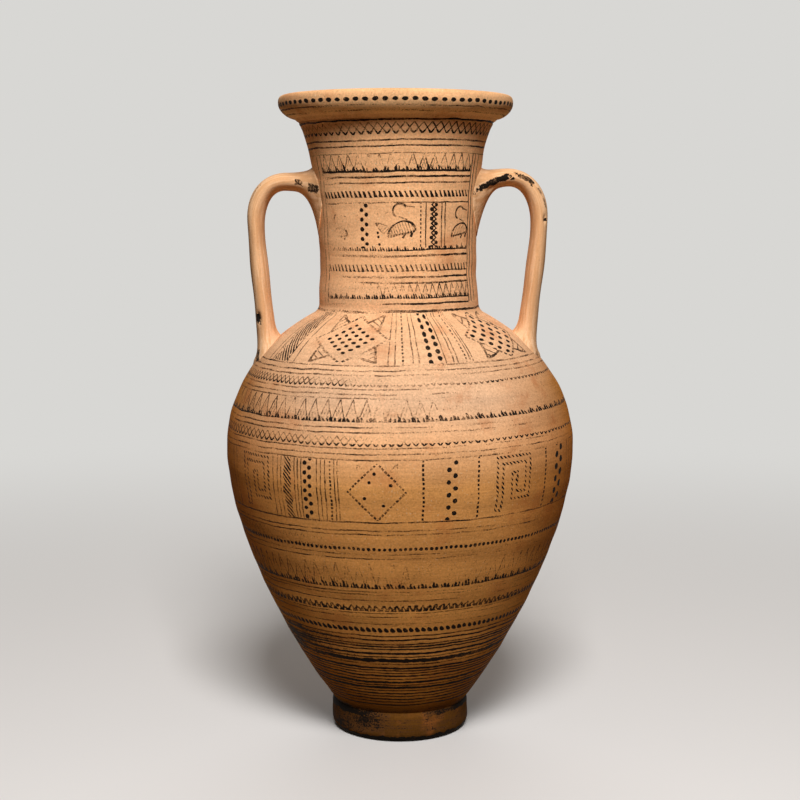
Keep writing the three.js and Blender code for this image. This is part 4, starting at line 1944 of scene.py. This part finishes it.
@dataclass(frozen=True)
class Handle(Piece):
    """A strap handle pulled as a roll of clay, with two shallow channels, luted on at both ends."""

    name: str
    side: int
    crown: float
    shoulder_seat: float
    traces: tuple[Trace, ...]
    chips: tuple[Chip, ...]
    slot: str = "handle_clay"
    thickness: float = 17.0
    width: float = 34.0
    reach: float = 64.4
    neck_seat: float = 109.0
    neck_angle: float = 10.0
    neck_hold: float = 19.0
    crown_out: float = 27.0
    crown_approach: float = 12.0
    crown_hold: float = 18.0
    bend_drop: float = 38.0
    bend_hold: float = 22.0
    grip_hold: float = 34.0
    root_hold: float = 40.0
    buried: Pair = (11.0, 17.0)
    neck_root: Root = Root(15.0, 37.0, 36.0, 30.0, 13.0)
    shoulder_root: Root = Root(4.0, 38.0, 34.0, 42.0, 20.0)
    root_sharpness: float = 2.3
    channel_depth: float = 1.3
    channel_spread: float = 5.6
    channel_width: float = 3.4
    cream: Colour = paint_tin(240, 202, 163)
    cream_share: float = 0.52
    tan: Colour = paint_tin(204, 146, 92)
    tan_share: float = 0.55
    sink: float = 3.0
    smear: float = 2.4
    smear_reach: float = 2.6
    thick_waves: tuple[Pair, ...] = ((0.35, 9.5), (0.25, 23.0))
    width_wave: Pair = (0.5, 17.0)
    sway: Pair = (0.7, 31.0)
    fine_step: float = 0.5
    roll_strip: float = 0.97
    end_discs: tuple[Pair, ...] = ((0.1, 0.985), (0.3, 0.985))
    disc_radius: float = 0.01
    steps: int = 250
    sides: int = 80

    def path(self, wall: Wall) -> np.ndarray:
        """The roll's middle line: distance from the axis and height, from the neck down.

        Args:
            wall: The jar's wall.

        Returns:
            The line, one point a row.
        """
        half = self.thickness / 2
        seat = wall.levels.neck + self.neck_seat
        face = float(wall.radius(seat))
        start = np.array([face - self.buried[0], seat])
        crown = np.array([face + self.crown_out, wall.levels.neck + self.crown - half])
        bend = np.array([face + self.reach - half, crown[1] - self.bend_drop])
        shoulder = wall.upper_outer[::-1]
        level = float(np.interp(self.shoulder_seat, shoulder[:, 0], shoulder[:, 1]))
        end = np.array([self.shoulder_seat, level - self.buried[1]])
        rise = heading(self.neck_angle) * self.neck_hold
        line = chain(curve(start, rise, crown, (self.crown_approach, 0), self.fine_step),
                     curve(crown, (self.crown_hold, 0), bend, (0, -self.bend_hold), self.fine_step),
                     curve(bend, (0, -self.grip_hold), end, (0, -self.root_hold), self.fine_step))
        return even(line, lengths(line)[-1] / self.steps)

    def shape(self, shop: Workshop) -> bpy.types.Object:
        """See Piece."""
        line = self.path(shop.wall)
        count = len(line)
        tangent, along = directions(line), lengths(line)
        turn = np.radians(np.arange(self.sides) * 360 / self.sides)
        aside, rise = self._section(along[:, None], turn[None, :])
        away = self.side * (line[:, :1] - tangent[:, 1:] * rise)
        up = line[:, 1:] + tangent[:, :1] * rise
        middle = np.stack([self.side * line[:, 0], np.zeros(count), line[:, 1]], 1)
        rings = np.stack([away, aside, up], 2)
        self._seat(shop.wall, rings, middle[:, None, :])
        rings[:, :, 0] += shop.throwing.lean(rings[:, :, 2])
        piece = self._sheet(count).build(f"{self.name}_fired", rings.reshape(-1, 3))
        pulled = np.stack([np.broadcast_to(along[:, None], rise.shape), aside, rise], 2)
        layer = piece.data.attributes.new(PULLED, "FLOAT_VECTOR", "POINT")
        layer.data.foreach_set("vector", pulled.ravel())
        return piece

    def _section(self, along: np.ndarray, turn: np.ndarray) -> tuple[np.ndarray, np.ndarray]:
        """The roll's section at each distance along it.

        Args:
            along: Distances, one a row.
            turn: Angles round the roll, one a column.

        Returns:
            How far each point lies aside of the middle line and over it.
        """
        length = float(along[-1, 0])
        roots = ((self.neck_root, along), (self.shoulder_root, length - along))
        waves = (deep * np.sin(along / long) for deep, long in self.thick_waves)
        over = under = sum(waves, self.thickness / 2)
        size, long = self.width_wave
        across = self.width / 2 + size * np.sin(along / long + self.crown)
        grip = 1.0
        for root, distance in roots:
            flare = np.maximum(1 - distance / root.over_length, 0) ** self.root_sharpness
            deep = np.maximum(1 - distance / root.under_length, 0) ** self.root_sharpness
            over = over + root.over * flare
            under = under + root.under * deep
            across = across + root.spread * flare
            grip = grip * (1 - flare)
        aside = across * np.cos(turn)
        channels = sum(np.exp(-((aside - place) / self.channel_width) ** 2)
                       for place in (-self.channel_spread, self.channel_spread))
        up = np.sin(turn)
        rise = np.where(up > 0, over * up - grip * up * self.channel_depth * channels, under * up)
        for chip in self.chips:
            gap = np.angle(np.exp(1j * (turn - math.radians(chip.turn)))) * self.thickness
            dent = chip.depth * np.exp(-((along - chip.along) ** 2 + gap ** 2) / chip.size ** 2)
            scale = 1 - dent / self.thickness * 1.6
            aside, rise = aside * scale, rise * scale
        size, long = self.sway
        return aside + size * np.sin(along / long + self.shoulder_seat), rise

    def _seat(self, wall: Wall, rings: np.ndarray, middle: np.ndarray) -> None:
        """Smears the ends of the roll onto the wall and keeps them from showing inside.

        Args:
            wall: The jar's wall.
            rings: The roll's points, which are moved.
            middle: The middle line's point of each ring.
        """
        outward = rings - middle
        outward /= np.linalg.norm(outward, axis=2)[:, :, None]
        off, _ = self._depth(wall, rings)
        rings += outward * (self.smear * np.exp(-np.maximum(off, 0) / self.smear_reach))[:, :, None]
        off, square = self._depth(wall, rings)
        rings -= square * np.minimum(off + self.sink, 0)[:, :, None]

    @staticmethod
    def _depth(wall: Wall, rings: np.ndarray) -> tuple[np.ndarray, np.ndarray]:
        """How far each point lies outside the wall, and the direction straight out there.

        Args:
            wall: The jar's wall.
            rings: The roll's points.

        Returns:
            The distances, less than 0 inside, and the directions.
        """
        radius = np.hypot(rings[:, :, 0], rings[:, :, 1])
        off, outward = wall.depth(radius.ravel(), rings[:, :, 2].ravel())
        shape = radius.shape
        out, up = outward[:, 0].reshape(shape), outward[:, 1].reshape(shape)
        east, north = rings[:, :, 0] / radius, rings[:, :, 1] / radius
        return off.reshape(shape), np.stack([out * east, out * north, up], 2)

    def _sheet(self, count: int) -> Sheet:
        """The faces between the rings and over both ends, facing outwards.

        Args:
            count: How many rings there are.

        Returns:
            The faces.
        """
        sheet = Sheet()
        near = np.arange(self.sides)
        far = (near + 1) % self.sides
        left, right = near / self.sides, (near + 1) / self.sides
        order = 1 if self.side > 0 else -1
        for i in range(count - 1):
            low, high = (self.roll_strip * edge / (count - 1) for edge in (i, i + 1))
            a, b = i * self.sides, (i + 1) * self.sides
            corners = [a + near, a + far, b + far, b + near]
            sheet.add(corners[::order], quads(left, right, low, high)[::order], 0)
        ends = (near[::-order], near[::order] + (count - 1) * self.sides)
        turn = np.linspace(0, 2 * np.pi, self.sides, endpoint=False)
        circle = np.column_stack([np.cos(turn), np.sin(turn)]) * self.disc_radius
        for middle, ring in zip(self.end_discs, ends):
            disc = circle + middle
            sheet.add([np.array([vertex]) for vertex in ring], [spot[None, :] for spot in disc], 0)
        return sheet

    def dress(self, shop: Workshop, piece: bpy.types.Object) -> None:
        """See Piece."""
        bench = Bench.for_material(f"pulled_{self.name}")
        layer = bench.node("ShaderNodeAttribute", {"attribute_name": PULLED})
        pulled = layer.outputs["Vector"]
        streaked = bench.vector("MULTIPLY", pulled, (0.3, 3, 5.5))
        place = bench.millimetres()
        along, aside, rise = bench.split(pulled)
        tone = shop.clay.colour(bench, place, bench.split(place)[2], streaked)
        stripes = bench.cloud(streaked, 22, 3, 0.65).ease(0.42, 0.6)
        tone = bench.mix(self.cream_share, tone, self.cream)
        tone = bench.mix(stripes * self.tan_share, tone, self.tan)
        waver = bench.cloud(place, 5, 4, 0.7) * 2.2 - 0.3
        paint = either(trace.paint(along, aside, rise, waver) for trace in self.traces)
        tone, rough = shop.paint.coat(bench, place, tone, paint)
        piece.data.materials.append(shop.clay.fire(bench, tone, rough, place, streaked))


@dataclass(frozen=True)
class Studio:
    """A pale floor that fades into a pale backdrop, soft light and the camera. Metres here."""

    floor_reach: float = 30.0
    floor_corners: int = 96
    fade: Pair = (0.25, 1.9)
    floor_tone: Colour = paint_tin(226, 226, 228)
    floor_bounce: Colour = paint_tin(88, 68, 44)
    backdrop: Colour = paint_tin(216, 215, 212)
    ambient: Colour = (0.052, 0.038, 0.022)
    key_place: tuple[float, float, float] = (0.15, -1.85, 2.3)
    key_size: float = 0.9
    key_power: float = 86.0
    key_tone: Colour = (1.0, 0.965, 0.92)
    back_place: tuple[float, float, float] = (0.0, 2.6, 1.6)
    back_size: float = 2.0
    back_power: float = 30.0
    back_tone: Colour = (1.0, 0.97, 0.93)
    target: tuple[float, float, float] = (0.0, 0.0, 0.33)
    camera_place: tuple[float, float, float] = (0.0, -1.45, 0.4985)
    camera_pitch: float = 82.81
    lens: float = 69.02
    sensor: float = 36.0

    def set_up(self) -> None:
        """Makes the floor, the backdrop, the lights and the camera."""
        scene = bpy.context.scene
        scene.view_settings.view_transform = "Standard"
        self._floor()
        self._world(scene)
        self._light("key", self.key_place, self.key_size, self.key_power, self.key_tone)
        self._light("back", self.back_place, self.back_size, self.back_power, self.back_tone)
        lens = bpy.data.cameras.new("camera")
        lens.lens = self.lens
        lens.sensor_width = self.sensor
        camera = set_down("camera", lens)
        camera.location = self.camera_place
        camera.rotation_euler = (math.radians(self.camera_pitch), 0.0, 0.0)
        scene.camera = camera

    @staticmethod
    def _seen(bench: Bench) -> Wire:
        """1 for what the camera sees, straight or mirrored or through glass.

        Args:
            bench: The bench that it is for.

        Returns:
            The mask.
        """
        path = bench.node("ShaderNodeLightPath")
        return either(Wire(bench, path.outputs[f"Is {kind} Ray"])
                      for kind in ("Camera", "Glossy", "Transmission"))

    def _floor(self) -> None:
        """Makes the floor and marks it as the stage."""
        turns = np.linspace(0, 2 * np.pi, self.floor_corners, endpoint=False)
        rim = np.column_stack([np.cos(turns), np.sin(turns), turns * 0]) * self.floor_reach
        mesh = bpy.data.meshes.new("floor")
        mesh.from_pydata(rim.tolist(), [], [list(range(self.floor_corners))])
        floor = set_down("floor", mesh)
        bench = Bench.for_material("pale_floor")
        point = bench.node("ShaderNodeTexCoord").outputs["Object"]
        reach = bench.node("ShaderNodeVectorMath", {"operation": "LENGTH"}, {0: point})
        seen = self._seen(bench)
        fade = Wire(bench, reach.outputs["Value"]).ease(*self.fade) & seen
        tone = bench.mix(seen, self.floor_bounce, self.floor_tone)
        matt = bench.node("ShaderNodeBsdfDiffuse", {}, {"Color": tone})
        far = bench.node("ShaderNodeEmission", {}, {"Color": (*self.backdrop, 1.0)})
        shaders = {0: fade, 1: matt.outputs[0], 2: far.outputs[0]}
        both = bench.node("ShaderNodeMixShader", {}, shaders)
        bench.node("ShaderNodeOutputMaterial", {}, {"Surface": both.outputs[0]})
        mesh.materials.append(bench.owner)

    def _world(self, scene: bpy.types.Scene) -> None:
        """Lights the room softly, and shows the pale backdrop to the camera.

        Args:
            scene: The scene.
        """
        bench = Bench(bpy.data.worlds.new("studio"))
        seen = self._seen(bench)
        tone = bench.mix(seen, self.ambient, self.backdrop)
        background = bench.node("ShaderNodeBackground", {}, {"Color": tone, "Strength": 1.0})
        bench.node("ShaderNodeOutputWorld", {}, {"Surface": background.outputs[0]})
        scene.world = bench.owner

    def _light(self, name: str, place: Sequence[float], size: float, power: float,
               tone: Colour) -> None:
        """Adds a square area light that faces the jar.

        Args:
            name: The lamp's name.
            place: Where it hangs.
            size: Its width.
            power: Its power in watts.
            tone: Its colour.
        """
        light = bpy.data.lights.new(name, "AREA")
        light.shape = "SQUARE"
        light.size = size
        light.energy = power
        light.color = tone
        lamp = set_down(name, light)
        lamp.location = place
        way = Vector(self.target) - Vector(place)
        lamp.rotation_euler = way.to_track_quat("-Z", "Y").to_euler()


def make_handles() -> tuple[Handle, Handle]:
    """The two handles, each with its own marks of wear.

    Returns:
        The left one and the right one.
    """
    left = Handle(
        "handle_left", -1, 122.0, 124.8,
        traces=(
            Trace(4, 17, -5, -3, 8, 0.66),
            Trace(21, 29, -1, 0, 6, 0.6),
            Trace(58, 76, 7, 8, 2.5, 0.7),
            Trace(174, 186, 5.5, 5.5, 6, 0.95),
            Trace(86, 112, 8.2, 8.2, 2.8, 0.66),
            Trace(208, 228, 7.5, 7, 4, 0.74),
        ),
        chips=(Chip(180, 150, 4.5, 2.6), Chip(70, 120, 3.5, 1.2)),
    )
    right = Handle(
        "handle_right", 1, 126.0, 120.0,
        traces=(
            Trace(3, 46, -5, 1.5, 7, 0.88),
            Trace(44, 62, 2.5, 4, 5, 0.7),
            Trace(64, 86, 5, 6.5, 2.2, 0.55),
            Trace(91.6, 95.4, 4.4, 4.4, 3.6, 1.0),
            Trace(212, 250, 7.8, 7.2, 3, 0.5),
        ),
        chips=(Chip(93, 150, 3.6, 1.8), Chip(20, 215, 3.5, 1.4)),
    )
    return left, right


def main() -> None:
    """Builds the jar piece by piece, then the studio."""
    logging.basicConfig(level=logging.INFO, format="%(name)s: %(message)s")
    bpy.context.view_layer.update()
    wall = Wall(Levels.from_frame())
    throwing = Throwing()
    clay = FiredClay()
    shop = Workshop(wall, Lathe(throwing), clay, PaintedClay(clay, wall, throwing))
    for piece in (FootRing(), LowerBelly(), UpperBelly(), Neck(), MouthRim(), *make_handles()):
        piece.make(shop)
    Studio().set_up()
    bpy.context.view_layer.update()


if __name__ == "__main__":
    main()
